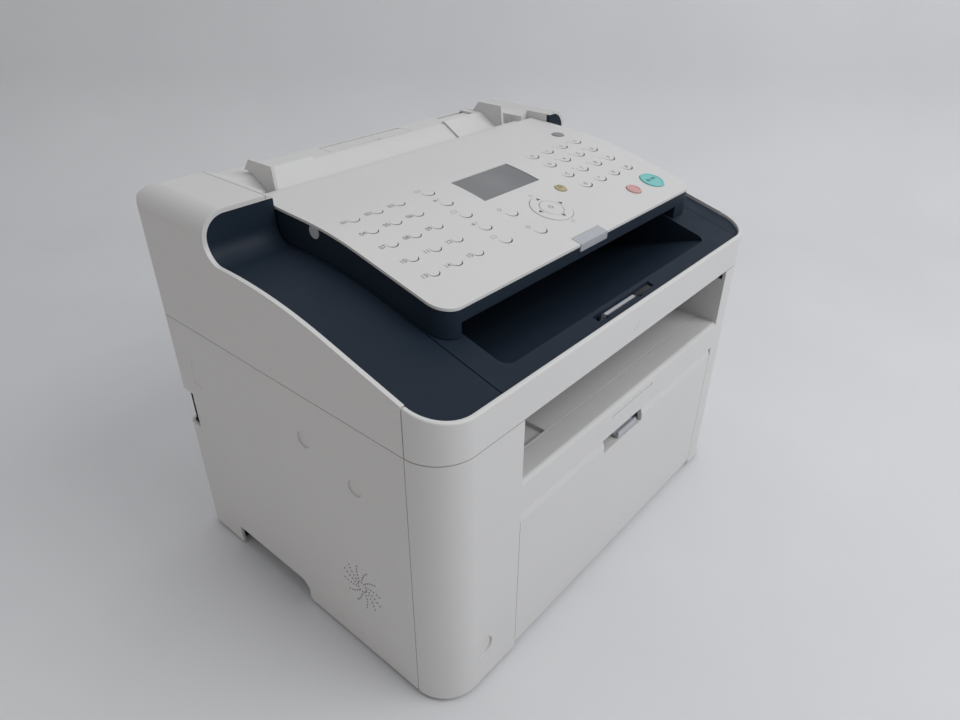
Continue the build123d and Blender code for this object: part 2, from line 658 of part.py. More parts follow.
with BuildPart() as adf_cover:
    # sloping document tray and the rear wall
    side_plate(
        [
            (74, 266.6),
            (99.5, 280),
            (TRAY_FLAT_Y, TRAY_Z),
            (HALF_D, TRAY_Z),
            (HALF_D, COVER_AXIS[1]),
            (HALF_D - TRAY_SKIN, COVER_AXIS[1]),
            (HALF_D - TRAY_SKIN, TRAY_Z - TRAY_SKIN),
            (TRAY_FLAT_Y - 1, TRAY_Z - TRAY_SKIN),
            (100, 276.8),
            (74, 263.2),
        ],
        ADF_X0,
        ADF_X1,
    )
    # cheeks beside the tray and arms that reach forward round the panel's hinge
    for cheek_low, cheek_high in ((ADF_X0, ADF_X0 + CHEEK_W), (ADF_X1 - CHEEK_W, ADF_X1)):
        block(cheek_low, cheek_high, LIP_Y0, 118, 262, TOP_Z)
        block(cheek_low, cheek_high, 118, HALF_D, 284, TOP_Z)
    for arm_low, arm_high in ((ADF_X0, ARM_X0), (ARM_X1, ADF_X1)):
        block(arm_low, arm_high, 58.6, LIP_Y0, 259, TOP_Z)
        block(arm_low, arm_high, BLOCK_Y, 58.6, TOP_Z - UPPER_WALL, TOP_Z)
    # upper lip of the feed slot
    block(ARM_X0, ARM_X1, LIP_Y0, LIP_Y0 + 6.5, 281.5, 283.6)
    add(upper_form.part, mode=Mode.INTERSECT)
    with BuildSketch(Plane.XZ.offset(-HALF_D - 1)):
        with BuildLine():
            Polyline(
                (ADF_X0 - 1, TOP_Z + 5),
                (ADF_X0, TOP_Z),
                (ADF_X0 + CHEEK_W, TRAY_Z),
                (ADF_X1 - CHEEK_W, TRAY_Z),
                (ADF_X1, TOP_Z),
                (ADF_X1 + 1, TOP_Z + 5),
                close=True,
            )
        make_face()
    extrude(amount=BODY_D, mode=Mode.SUBTRACT)
    # blind bores for the panel's pins
    rod(PANEL_AXIS, PANEL_PIN_R + RUN, ARM_X0 - 4.2, ARM_X0 + 1, mode=Mode.SUBTRACT)
    rod(PANEL_AXIS, PANEL_PIN_R + RUN, ARM_X1 - 1, ARM_X1 + 4.2, mode=Mode.SUBTRACT)
    # slots for the feet of the document guides
    block(
        GUIDE_X0 + 0.6, GUIDE_X0 + GUIDE_T + GUIDE_TRAVEL - 1.1, PINION_Y - 9.4, PINION_Y - 4.9,
        280, 290, mode=Mode.SUBTRACT,
    )
    block(
        GUIDE_X1 - GUIDE_T - GUIDE_TRAVEL + 0.5, GUIDE_X1 - 0.6, PINION_Y + 4.9, PINION_Y + 9.4,
        280, 290, mode=Mode.SUBTRACT,
    )
    # opening and pin bores of the document support
    block(
        FLAP_X0 - 0.4, FLAP_X1 + 0.4, FLAP_Y0 - 0.4, FLAP_Y1 + 0.8, 280, 290, mode=Mode.SUBTRACT,
    )
    rod(FLAP_AXIS, 0.9 + RUN, FLAP_X0 - 3.2, FLAP_X1 + 3.2, mode=Mode.SUBTRACT)
save(adf_cover, "adf_cover")

with BuildPart() as document_support:
    block(FLAP_X0, FLAP_X1, FLAP_Y0, FLAP_AXIS[0], TRAY_Z - FLAP_T, TRAY_Z)
    rod(FLAP_AXIS, 1.5, FLAP_X0, FLAP_X1)
    block(FLAP_X0, FLAP_X1, FLAP_AXIS[0], FLAP_Y1 - 0.6, TRAY_Z - 2.2, TRAY_Z - 0.4)
    rod(FLAP_AXIS, 0.9, FLAP_X0 - 2.8, FLAP_X1 + 2.8)
    # finger scoop in the front edge
    block(CENTRE_X - 17, CENTRE_X + 1, FLAP_Y0 - 1, FLAP_Y0 + 2.5, TRAY_Z - 1, TRAY_Z + 1, mode=Mode.SUBTRACT)
save(document_support, "document_support")


def document_guide(side, fin_x, bar_y, tooth_dir):
    """Document guide with its fin, base plate, foot and toothed rack; side is +1 on the left."""
    inner = fin_x + side * GUIDE_T
    x_low, x_high = sorted((fin_x, inner))
    fin_low, fin_high = sorted((fin_x, fin_x + side * FIN_T))
    with BuildPart() as guide:
        side_plate(
            [
                (88.2, 276.2),
                (90.5, TOP_Z + 4),
                (117, TOP_Z + 4),
                (124, 290.6),
                (bar_y[1], 290.6),
                (bar_y[1], TRAY_Z + 0.3),
                (TRAY_FLAT_Y, TRAY_Z + 0.35),
                (99.5, 280.35),
                (88.2, 274.45),
            ],
            fin_low,
            fin_high,
        )
        block(x_low, x_high, TRAY_FLAT_Y, bar_y[1], TRAY_Z + 0.35, TRAY_Z + 1.7)
        plate_low, plate_high = sorted((fin_x, inner + side * 42.5))
        side_plate(
            [(91, 275.9), (99.5, 280.35), (TRAY_FLAT_Y, TRAY_Z + 0.35), (117, TRAY_Z + 0.35),
             (117, TRAY_Z + 1.7), (113.6, TRAY_Z + 1.7), (99, 281.7), (91, 277.5)],
            plate_low,
            plate_high,
        )
        # foot through the tray's slot
        block(x_low + 1, x_high - 1.5, bar_y[0], bar_y[1], RACK_Z, TRAY_Z + 1)
        bar_low, bar_high = sorted((fin_x + side, CENTRE_X + side * 12))
        block(bar_low, bar_high, bar_y[0], bar_y[1], RACK_Z, RACK_Z + RACK_H)
        base_y = bar_y[1] if tooth_dir > 0 else bar_y[0]
        for tooth in range(-15, 4):
            middle = CENTRE_X + side * math.pi * (tooth + 0.5)
            with BuildSketch(Plane.XY.offset(RACK_Z)) as tooth_face:
                with BuildLine():
                    Polyline(
                        (middle - 0.85, base_y - 0.1 * tooth_dir),
                        (middle - 0.3, base_y + 2.2 * tooth_dir),
                        (middle + 0.3, base_y + 2.2 * tooth_dir),
                        (middle + 0.85, base_y - 0.1 * tooth_dir),
                        close=True,
                    )
                make_face()
            extrude(tooth_face.sketch, amount=RACK_H)
    return guide


FRONT_BAR = (PINION_Y - 9.0, PINION_Y - 9.0 + RACK_BAR_W)
REAR_BAR = (PINION_Y + 9.0 - RACK_BAR_W, PINION_Y + 9.0)
document_guide_left = document_guide(1, GUIDE_X0, FRONT_BAR, 1)
save(document_guide_left, "document_guide_left")
document_guide_right = document_guide(-1, GUIDE_X1, REAR_BAR, -1)
save(document_guide_right, "document_guide_right")

with BuildPart() as guide_pinion:
    with BuildSketch(Plane.XY.offset(RACK_Z)) as pinion_face:
        with Locations((CENTRE_X, PINION_Y)):
            add(spur_gear(PINION_TEETH, 1.0, 2.0 + RUN, -90))
    extrude(amount=RACK_H)
save(guide_pinion, "guide_pinion")

PLATE_X0 = -121.5
PLATE_X1 = 148.5
with BuildPart() as adf_frame:
    for plate_x in (PLATE_X0, PLATE_X1):
        side_plate(
            [
                (-14, 226),
                (-14, 250),
                (50, 258.5),
                (64, 259.5),
                (100, 264),
                (122, 264),
                (133.5, 260),
                (134, 251),
                (120, 247),
                (60, 244),
                (4, 226),
            ],
            plate_x,
            plate_x + 3,
        )
    block(PLATE_X0 + 3, PLATE_X1, 100, 104, 250, 262)
    # bracket with the pinion's stud
    block(CENTRE_X - 10, CENTRE_X + 10, 100, 103, 262, 275.5)
    block(CENTRE_X - 10, CENTRE_X + 10, 100, PINION_Y + 6, 273, 275.5)
    with BuildSketch(Plane.XY.offset(275.5)):
        with Locations((CENTRE_X, PINION_Y)):
            Circle(3.2)
    extrude(amount=RACK_Z - 0.3 - 275.5)
    with BuildSketch(Plane.XY.offset(275.5)):
        with Locations((CENTRE_X, PINION_Y)):
            Circle(2)
    extrude(amount=RACK_Z + RACK_H - 275.5)
    # stub pins of the cover's hinge
    rod(COVER_AXIS, HINGE_R, FRAME_X0 - 0.3, PLATE_X0)
    rod(COVER_AXIS, HINGE_R, PLATE_X1 + 3, FRAME_X1 + FRAME_T + 0.3)
    rod(FEED_AXIS, 3 + RUN, PLATE_X0 - 1, PLATE_X1 + 4, mode=Mode.SUBTRACT)
    rod(EJECT_AXIS, 3 + RUN, PLATE_X0 - 1, PLATE_X1 + 4, mode=Mode.SUBTRACT)
save(adf_frame, "adf_frame")

with BuildPart() as feed_roller:
    rod(FEED_AXIS, 3, PLATE_X0 + 0.2, PLATE_X1 + 2.8)
    rod(FEED_AXIS, FEED_R, CENTRE_X - 15, CENTRE_X + 15)
save(feed_roller, "feed_roller")

with BuildPart() as eject_roller:
    rod(EJECT_AXIS, 3, PLATE_X0 + 0.2, PLATE_X1 + 2.8)
    for tyre_x in EJECT_TYRES:
        rod(EJECT_AXIS, EJECT_R, tyre_x - TYRE_W / 2, tyre_x + TYRE_W / 2)
save(eject_roller, "eject_roller")

with BuildPart() as scan_unit:
    side_plate(
        [
            (SENSOR_Y0, path_height(SENSOR_Y0)),
            (SENSOR_Y1, path_height(SENSOR_Y1)),
            (SENSOR_Y1, path_height(SENSOR_Y1) - 14),
            (SENSOR_Y0, path_height(SENSOR_Y0) - 14),
        ],
        SENSOR_X0,
        SENSOR_X1,
    )
save(scan_unit, "scan_unit")


# ---------------------------------------------------------------- operation panel
KEY_PITCH_X = 19.7
KEY_PITCH_Y = 17.2
KEY_TOP_Y = 8.5
ONE_TOUCH_X0 = -108.6
KEYPAD_X0 = 76.5
FUNCTION_X = -41.5
ONE_TOUCH_R = 4.2
KEYPAD_R = 5.6
FUNCTION_R = 4.7
LCD = (-16.2, 46.5, -21.4, 11.2)
START_KEY = (134.5, -68.3, 10.0)
STOP_KEY = (105.7, -68.8, 6.0)
SAVE_KEY = (51.3, -37.8, 4.6)
HOOK_KEY = (138.0, 27.5, 5.2)
NAV_CENTRE = (20.2, -52.0)
NAV_R = 16.0
OK_R = 9.0
KEY_GAP = 0.35
LENS = (-1.0, 32.0)
ROUND_KEYS = [START_KEY, STOP_KEY, SAVE_KEY, HOOK_KEY, (NAV_CENTRE[0], NAV_CENTRE[1], NAV_R)]

one_touch_spots = [
    (ONE_TOUCH_X0 + KEY_PITCH_X * column, KEY_TOP_Y - KEY_PITCH_Y * row, ONE_TOUCH_R)
    for row in range(5)
    for column in range(3)
]
keypad_spots = [
    (KEYPAD_X0 + KEY_PITCH_X * column, KEY_TOP_Y - KEY_PITCH_Y * row, KEYPAD_R)
    for row in range(4)
    for column in range(4)
]
function_spots = [(FUNCTION_X, KEY_TOP_Y - KEY_PITCH_Y * row, FUNCTION_R) for row in range(5)]
function_spots += [(-11.1, -41.0, FUNCTION_R), (-10.6, -65.5, FUNCTION_R)]
soft_spots = one_touch_spots + keypad_spots + function_spots

with BuildPart() as panel_top:
    # top skin with a turned-down front edge and a round rear edge about the hinge
    with BuildSketch(Plane.YZ.offset(PANEL_X0)):
        with BuildLine():
            start, end = draw_panel(0, PANEL_FRONT_Y, PANEL_AXIS[0])
            low_start, low_end = draw_panel(PANEL_SKIN, PANEL_FRONT_Y, PANEL_AXIS[0] - 6)
            Line(start, low_start)
            Polyline(end, (PANEL_AXIS[0], PANEL_AXIS[1]), (PANEL_AXIS[0] - 6, PANEL_AXIS[1]), low_end)
        make_face()
    extrude(amount=PANEL_X1 - PANEL_X0)
    rod(PANEL_AXIS, PANEL_REAR_R, PANEL_X0, PANEL_X1)
    with BuildSketch(Plane.XY.offset(200)):
        add(panel_outline(0))
    extrude(amount=120, mode=Mode.INTERSECT)
    # hinge pins
    rod(PANEL_AXIS, PANEL_PIN_R, ARM_X0 - 3.6, ARM_X1 + 3.6)
    # window of the display
    block(LCD[0], LCD[1], LCD[2], LCD[3], 260, 300, mode=Mode.SUBTRACT)
    # holes of the separate keys
    for key_x, key_y, key_r in ROUND_KEYS:
        with BuildSketch(key_plane(key_x, key_y).offset(-6)):
            Circle(key_r + KEY_GAP)
        extrude(amount=9, mode=Mode.SUBTRACT)
    # crescent slits that free the tongue of each soft key
    for spot_x, spot_y, spot_r in soft_spots:
        with BuildSketch(key_plane(spot_x, spot_y).offset(-6)):
            Circle(spot_r)
            with Locations((0, 0.22 * spot_r)):
                Circle(spot_r + 0.25, mode=Mode.SUBTRACT)
        extrude(amount=9, mode=Mode.SUBTRACT)
    # notch of the lamp lens in the front edge
    block(LENS[0], LENS[1], PANEL_FRONT_Y - 1, PANEL_FRONT_Y + 8, 250, 270, mode=Mode.SUBTRACT)
save(panel_top, "panel_top")

SKIRT_X0 = RECESS_X0 - 3
SKIRT_X1 = RECESS_X1 + 3
BASE_REAR_Y = 67.5
with BuildPart() as panel_base:
    panel_layer(PANEL_SKIN, PANEL_DEPTH, PANEL_FRONT_Y, BASE_REAR_Y, PANEL_X0, PANEL_X1)
    # skirts that hide the sides of the document path
    for skirt_low, skirt_high in ((PANEL_X0, SKIRT_X0), (SKIRT_X1, PANEL_X1)):
        with BuildSketch(Plane.YZ.offset(skirt_low)):
            with BuildLine():
                top_start, top_end = draw_panel(PANEL_DEPTH - 1, PANEL_FRONT_Y, BASE_REAR_Y)
                low_flat = draw_rim(PANEL_FRONT_Y, TRAY_DROP - SEAM_GAP)
                Line(top_start, (PANEL_FRONT_Y, rim_height(PANEL_FRONT_Y) - TRAY_DROP + SEAM_GAP))
                Polyline(low_flat, (BASE_REAR_Y, low_flat[1]), top_end)
            make_face()
        extrude(amount=skirt_high - skirt_low)
    with BuildSketch(Plane.XY.offset(200)):
        add(panel_outline(0.6))
    extrude(amount=120, mode=Mode.INTERSECT)
    # cavity for the key mat and the display, inside the round corners
    panel_layer(
        PANEL_SKIN - 1, PANEL_CAVITY, PANEL_FRONT_Y + 3, BASE_REAR_Y - 3,
        PANEL_X0 + PANEL_CORNER, PANEL_X1 - PANEL_CORNER, mode=Mode.SUBTRACT,
    )
    panel_layer(
        PANEL_SKIN - 1, PANEL_CAVITY, PANEL_FRONT_Y + PANEL_CORNER, BASE_REAR_Y - 3,
        PANEL_X0 + 3, PANEL_X1 - 3, mode=Mode.SUBTRACT,
    )
    # hollow skirts
    for hollow_low, hollow_high in ((PANEL_X0 + 3, SKIRT_X0 - 2.5), (SKIRT_X1 + 2.5, PANEL_X1 - 3)):
        side_plate(
            [
                (PANEL_FRONT_Y + 16, 236),
                (PANEL_FRONT_Y + 16, 250),
                (BASE_REAR_Y - 4, 270),
                (BASE_REAR_Y - 4, 256),
            ],
            hollow_low,
            hollow_high,
            mode=Mode.SUBTRACT,
        )
    # pad that presses the sheet on the feed roller
    block(CENTRE_X - 14, CENTRE_X + 14, FEED_Y - 6, FEED_Y + 6, path_height(FEED_Y) + 3, 275)
    block(
        LENS[0] - 0.5, LENS[1] + 0.5, PANEL_FRONT_Y - 1, PANEL_FRONT_Y + 6,
        PANEL_FRONT_Z - 6, 270, mode=Mode.SUBTRACT,
    )
save(panel_base, "panel_base")

with BuildPart() as lamp_lens:
    side_plate(
        [
            (PANEL_FRONT_Y - 0.6, PANEL_FRONT_Z - 5.5),
            (PANEL_FRONT_Y - 0.6, PANEL_FRONT_Z + 0.1),
            (PANEL_FRONT_Y + 7.6, panel_height(PANEL_FRONT_Y + 7.6) + 0.3),
            (PANEL_FRONT_Y + 7.6, panel_height(PANEL_FRONT_Y + 7.6) - 2.6),
            (PANEL_FRONT_Y + 1.2, panel_height(PANEL_FRONT_Y + 1.2) - 2.6),
            (PANEL_FRONT_Y + 1.2, PANEL_FRONT_Z - 5.5),
        ],
        LENS[0] + 0.2,
        LENS[1] - 0.2,
    )
save(lamp_lens, "lamp_lens")

with BuildPart() as lcd_window:
    panel_layer(0.5, 2.7, LCD[2] - 20, PANEL_FLAT_Y + 10, LCD[0] + 0.25, LCD[1] - 0.25)
    block(LCD[0], LCD[1], LCD[2] + 0.25, LCD[3] - 0.25, 260, 300, mode=Mode.INTERSECT)
save(lcd_window, "lcd_window")

with BuildPart() as key_mat:
    panel_layer(5.2, 6.4, PANEL_FRONT_Y + PANEL_CORNER + 1, BASE_REAR_Y - 6, PANEL_X0 + 6, PANEL_X1 - 6)
    for spot_x, spot_y, spot_r in soft_spots:
        with BuildSketch(key_plane(spot_x, spot_y).offset(-5.6)):
            Circle(spot_r - 1)
        extrude(amount=3.2, taper=12)
    for key_x, key_y, key_r in ROUND_KEYS:
        with BuildSketch(key_plane(key_x, key_y).offset(-8)):
            Circle(key_r + 2)
        extrude(amount=5, mode=Mode.SUBTRACT)
save(key_mat, "key_mat")


def round_key(spot, height, dish):
    """Separate round key with a retaining flange under the top skin and a rounded upper edge."""
    key_x, key_y, key_r = spot
    with BuildPart() as key:
        with BuildSketch(key_plane(key_x, key_y).offset(-4.7)) as flange_face:
            Circle(key_r + 1.2)
        extrude(flange_face.sketch, amount=1.2)
        with BuildSketch(key_plane(key_x, key_y).offset(-3.6)) as cap_face:
            Circle(key_r)
        extrude(cap_face.sketch, amount=3.6 + height)
        fillet(key.edges().filter_by(GeomType.CIRCLE).sort_by(Axis.Z)[-1], 0.5)
        if dish:
            with BuildSketch(key_plane(key_x, key_y).offset(height)) as dish_face:
                Circle(key_r - 1.4)
            extrude(dish_face.sketch, amount=-0.3, taper=30, mode=Mode.SUBTRACT)
    return key


start_key = round_key(START_KEY, 1.0, True)
save(start_key, "start_key")
stop_key = round_key(STOP_KEY, 1.0, True)
save(stop_key, "stop_key")
save_key = round_key(SAVE_KEY, 0.7, False)
save(save_key, "save_key")
hook_key = round_key(HOOK_KEY, 0.7, False)
save(hook_key, "hook_key")

with BuildPart() as ok_key:
    with BuildSketch(key_plane(*NAV_CENTRE).offset(-4.6)):
        Circle(OK_R)
    extrude(amount=5.3)
    fillet(ok_key.edges().filter_by(GeomType.CIRCLE).sort_by(Axis.Z)[-1], 0.5)
save(ok_key, "ok_key")

with BuildPart() as nav_ring:
    with BuildSketch(key_plane(*NAV_CENTRE).offset(-4.7)):
        Circle(NAV_R + 1.2)
    extrude(amount=1.2)
    with BuildSketch(key_plane(*NAV_CENTRE).offset(-3.6)):
        Circle(NAV_R)
    extrude(amount=4.1)
    fillet(nav_ring.edges().filter_by(GeomType.CIRCLE).sort_by(Axis.Z)[-1], 0.5)
    with BuildSketch(key_plane(*NAV_CENTRE).offset(-8)):
        Circle(OK_R + KEY_GAP)
    extrude(amount=12, mode=Mode.SUBTRACT)
save(nav_ring, "nav_ring")


# ---------------------------------------------------------------- front door and paper output
with BuildPart() as front_door:
    with BuildSketch(Plane.YZ.offset(OPEN_X0 + 0.4)):
        with BuildLine():
            TangentArc((-HALF_D, 121), (-HALF_D + 3.1, DOOR_TOP_Z), tangent=(0, 1))
            Polyline(
                (-HALF_D + 3.1, DOOR_TOP_Z),
                (-HALF_D + 6.1, DOOR_TOP_Z),
                (-HALF_D + 3, 119.5),
                (-HALF_D + 3, DOOR_AXIS[1]),
                (-HALF_D, DOOR_AXIS[1]),
                (-HALF_D, 121),
            )
        make_face()
    extrude(amount=OPEN_X1 - OPEN_X0 - 0.8)
    rod(DOOR_AXIS, 4.8, OPEN_X0 + 0.4, OPEN_X1 - 0.4)
    # stiffening ribs on the inner face
    for rib_x in (OPEN_X0 + 0.4, -55, 30, 85, OPEN_X1 - 2.9):
        block(rib_x, rib_x + 2.5, -HALF_D + 2, -126.5, 11, NOTCH_Z)
    block(OPEN_X0 + 0.4, OPEN_X1 - 0.4, -HALF_D + 2, -126.5, NOTCH_Z - 2, NOTCH_Z)
    block(NOTCH[0], NOTCH[1], -HALF_D - 1, -120, NOTCH_Z, 140, mode=Mode.SUBTRACT)
    rod(DOOR_AXIS, DOOR_PIN_R, OPEN_X0 - 3.6, OPEN_X1 + 3.6)
save(front_door, "front_door")

with BuildPart() as door_latch:
    block(LATCH_X0, LATCH_X1, LATCH_PIVOT[0] - 0.9, LATCH_PIVOT[0] + 0.9, 120.6, LATCH_PIVOT[1])
    block(LATCH_X0, LATCH_X1, -137, LATCH_PIVOT[0] + 0.9, 119.6, 121.4)
    block(LATCH_X0, LATCH_X1, -137, -135.8, 119.6, 124.5)
    rod(LATCH_PIVOT, 1.9, LATCH_X0, LATCH_X1)
    rod(LATCH_PIVOT, 1.2, LATCH_X0 - 3.2, LATCH_X1 + 3.2)
save(door_latch, "door_latch")

with BuildPart() as output_stop:
    block(STOP_X0, STOP_X1, -HALF_D + 0.3, -110, STOP_Z0, STOP_Z0 + STOP_T)
    block(STOP_X0, STOP_X1, -HALF_D + 0.3, -HALF_D + 2, STOP_Z0, STOP_Z0 + STOP_T)
save(output_stop, "output_stop")

TRAY_REAR_Y = -25.0
with BuildPart() as output_tray:
    block(OPEN_X0 - WALL, OPEN_X1 + WALL, SHELF_SPLIT_Y + 0.5, TRAY_REAR_Y, 150, SHELF_Z)
    block(OPEN_X0, -66, SHELF_SPLIT_Y + 2.5, -62, SHELF_Z - 3, SHELF_Z + 1, mode=Mode.SUBTRACT)
    for side_x in (OPEN_X0 - WALL, OPEN_X1):
        block(side_x, side_x + WALL, -HALF_D + WALL, TRAY_REAR_Y, 150, 195)
    block(OPEN_X0, OPEN_X1, TRAY_REAR_Y - WALL, TRAY_REAR_Y, 150, 176)
save(output_tray, "output_tray")


# ---------------------------------------------------------------- paper input
LIFT_AXIS = (-112.0, 11.0)
LIFT_X0 = -50.0
LIFT_X1 = 80.0
BAY_FLOOR = 8.0
BAY_TOP = 104.0

with BuildPart() as paper_bay:
    block(OPEN_X0 - WALL, OPEN_X1 + WALL, -118, -12, 5.7, BAY_FLOOR)
    block(OPEN_X0 - WALL, OPEN_X1 + WALL, -118, -20, BAY_TOP - WALL, BAY_TOP)
    for side_x in (OPEN_X0 - WALL, OPEN_X1):
        side_plate(
            [(-118, 5.7), (-118, BAY_TOP), (-20, BAY_TOP), (-20, 60), (6, 60), (6, 5.7)],
            side_x,
            side_x + WALL,
        )
    # shield behind the door's finger notch
    block(NOTCH[0] - 15, NOTCH[1] + 15, -121, -118, BAY_TOP - WALL, DOOR_TOP_Z)
    for lug_x in (LIFT_X0 - 4.6, LIFT_X1 + 0.6):
        block(lug_x, lug_x + 4, LIFT_AXIS[0] - 3, LIFT_AXIS[0] + 3, BAY_FLOOR - 1, LIFT_AXIS[1] + 3)
    rod(LIFT_AXIS, 1.5 + RUN, LIFT_X0 - 5, LIFT_X1 + 5, mode=Mode.SUBTRACT)
    rod(PICKUP_AXIS, 5, -130, 160, mode=Mode.SUBTRACT)
save(paper_bay, "paper_bay")

with BuildPart() as lift_plate:
    block(LIFT_X0, LIFT_X1, LIFT_AXIS[0], -13, LIFT_AXIS[1] - 0.75, LIFT_AXIS[1] + 0.75)
    rod(LIFT_AXIS, 2.4, LIFT_X0, LIFT_X1)
    rod(LIFT_AXIS, 1.5, LIFT_X0 - 4.2, LIFT_X1 + 4.2)
save(lift_plate, "lift_plate")


def paper_guide(side, fin_x):
    """Upright side guide for the paper stack; side is +1 on the left."""
    with BuildPart() as guide:
        fin_low, fin_high = sorted((fin_x, fin_x + side * 2.5))
        block(fin_low, fin_high, -108, -40, BAY_FLOOR + 0.3, 48)
        foot_low, foot_high = sorted((fin_x - side * 16, fin_x + side * 4))
        block(foot_low, foot_high, -108, -40, BAY_FLOOR + 0.3, BAY_FLOOR + 1.8)
        for rib_y in (-100, -75, -50):
            rib_low, rib_high = sorted((fin_x - side * 12, fin_x))
            block(rib_low, rib_high, rib_y, rib_y + 2, BAY_FLOOR + 1.5, 30)
    return guide


paper_guide_left = paper_guide(1, -96.0)
save(paper_guide_left, "paper_guide_left")
paper_guide_right = paper_guide(-1, 2 * CENTRE_X + 96.0)
save(paper_guide_right, "paper_guide_right")


# ---------------------------------------------------------------- frame and base
HOLD_Y0 = 0.0
HOLD_Y1 = 96.0
HOLD_X = 171.0
FOOT_SPOTS = [(-152, -98), (164, -98), (-152, 116), (152, 116)]
SHAFT_X0 = FRAME_X0 + 0.2
SHAFT_X1 = FRAME_X1 + FRAME_T - 0.2
GEAR_X0 = 155.5
GEAR_W = 7.0
MOTOR_REACH = GEAR_MODULE * (DRUM_TEETH + MOTOR_TEETH) / 2
MOTOR_AXIS = (
    DRUM_AXIS[0] + MOTOR_REACH * math.cos(math.radians(MOTOR_ANGLE)),
    DRUM_AXIS[1] + MOTOR_REACH * math.sin(math.radians(MOTOR_ANGLE)),
)
SHAFTS = [
    (PICKUP_AXIS, 3.0),
    (TRANSFER_AXIS, 3.0),
    (DRUM_AXIS, 4.0),
    (FUSER_AXIS, 3.5),
    (PRESSURE_AXIS, 3.5),
]

with BuildPart() as base_pan:
    with BuildSketch(Plane.XY.offset(FOOT_H)):
        add(plan_outline(WALL))
        with Locations(((OPEN_X0 + OPEN_X1) / 2, -HALF_D + 8)):
            Rectangle(OPEN_X1 - OPEN_X0 + 10, 22, mode=Mode.SUBTRACT)
        with Locations((-HALF_W, 48), (HALF_W, 48)):
            Rectangle(2 * (HALF_W - HOLD_X), HOLD_Y1 - HOLD_Y0, mode=Mode.SUBTRACT)
    extrude(amount=WALL)
    # hand holds: inner wall and roof on both sides
    for side in (-1, 1):
        wall_low, wall_high = sorted((side * HOLD_X, side * (HOLD_X - WALL)))
        block(wall_low, wall_high, HOLD_Y0, HOLD_Y1, FOOT_H, 26)
        roof_low, roof_high = sorted((side * (HALF_W - WALL), side * (HOLD_X - WALL)))
        block(roof_low, roof_high, HOLD_Y0, HOLD_Y1, 23.5, 26)
save(base_pan, "base_pan")

with BuildPart() as feet:
    with BuildSketch(Plane.XY):
        with Locations(*FOOT_SPOTS):
            Circle(8)
    extrude(amount=1)
    with BuildSketch(Plane.XY.offset(1)):
        with Locations(*FOOT_SPOTS):
            Circle(9)
    extrude(amount=FOOT_H - 1)
save(feet, "feet")


def side_frame(x_low, flange_x, bore_slack):
    """Sheet-metal side frame with a bottom flange, an ear for the cover's hinge and shaft bores."""
    x_high = x_low + FRAME_T
    ear_low = COVER_AXIS[0] - 4
    with BuildPart() as frame:
        side_plate(
            [
                (-100, FOOT_H + WALL),
                (ear_low + 8, FOOT_H + WALL),
                (ear_low + 8, COVER_AXIS[1]),
                (ear_low, COVER_AXIS[1]),
                (ear_low, 196),
                (-100, 196),
            ],
            x_low,
            x_high,
        )
        rod(COVER_AXIS, 5, x_low, x_high)
        flange_low, flange_high = sorted((x_low, flange_x))
        block(flange_low, flange_high, -100, HOLD_Y0 - 4, FOOT_H + WALL, FOOT_H + WALL + FRAME_T)
        rod(COVER_AXIS, HINGE_R + RUN, x_low - 1, x_high + 1, mode=Mode.SUBTRACT)
        for axis, radius in SHAFTS:
            rod(axis, radius + bore_slack, x_low - 1, x_high + 1, mode=Mode.SUBTRACT)
        if x_low > 0:
            rod(MOTOR_AXIS, 2.5, x_low - 1, x_high + 1, mode=Mode.SUBTRACT)
    return frame


left_frame = side_frame(FRAME_X0, FRAME_X0 - 10, RUN)
save(left_frame, "left_frame")
right_frame = side_frame(FRAME_X1, FRAME_X1 + 12, RUN)
save(right_frame, "right_frame")


# ---------------------------------------------------------------- print engine
ROLLER_X0 = -100.0
ROLLER_X1 = 128.0

with BuildPart() as pickup_roller:
    rod(PICKUP_AXIS, 3, SHAFT_X0, SHAFT_X1)
    rod(PICKUP_AXIS, 14, CENTRE_X - 20, CENTRE_X + 20)
save(pickup_roller, "pickup_roller")

with BuildPart() as transfer_roller:
    rod(TRANSFER_AXIS, 3, SHAFT_X0, SHAFT_X1)
    rod(TRANSFER_AXIS, 7.5, ROLLER_X0 + 4, ROLLER_X1 - 4)
save(transfer_roller, "transfer_roller")

with BuildPart() as photo_drum:
    rod(DRUM_AXIS, 4, SHAFT_X0, GEAR_X0 + GEAR_W + 1)
    rod(DRUM_AXIS, 12, ROLLER_X0, ROLLER_X1)
save(photo_drum, "photo_drum")

with BuildPart() as fuser_roller:
    rod(FUSER_AXIS, 3.5, SHAFT_X0, GEAR_X0 + GEAR_W + 1)
    rod(FUSER_AXIS, 9, ROLLER_X0, ROLLER_X1)
save(fuser_roller, "fuser_roller")

with BuildPart() as pressure_roller:
    rod(PRESSURE_AXIS, 3.5, SHAFT_X0, SHAFT_X1)
    rod(PRESSURE_AXIS, 9, ROLLER_X0, ROLLER_X1)
save(pressure_roller, "pressure_roller")

DRUM_PHASE = 0.0
FUSER_DIRECTION = math.degrees(math.atan2(FUSER_AXIS[1] - DRUM_AXIS[1], FUSER_AXIS[0] - DRUM_AXIS[0]))
FUSER_PHASE = meshed_phase(DRUM_PHASE, DRUM_TEETH, FUSER_DIRECTION, FUSER_TEETH)
MOTOR_PHASE = meshed_phase(DRUM_PHASE, DRUM_TEETH, MOTOR_ANGLE, MOTOR_TEETH)


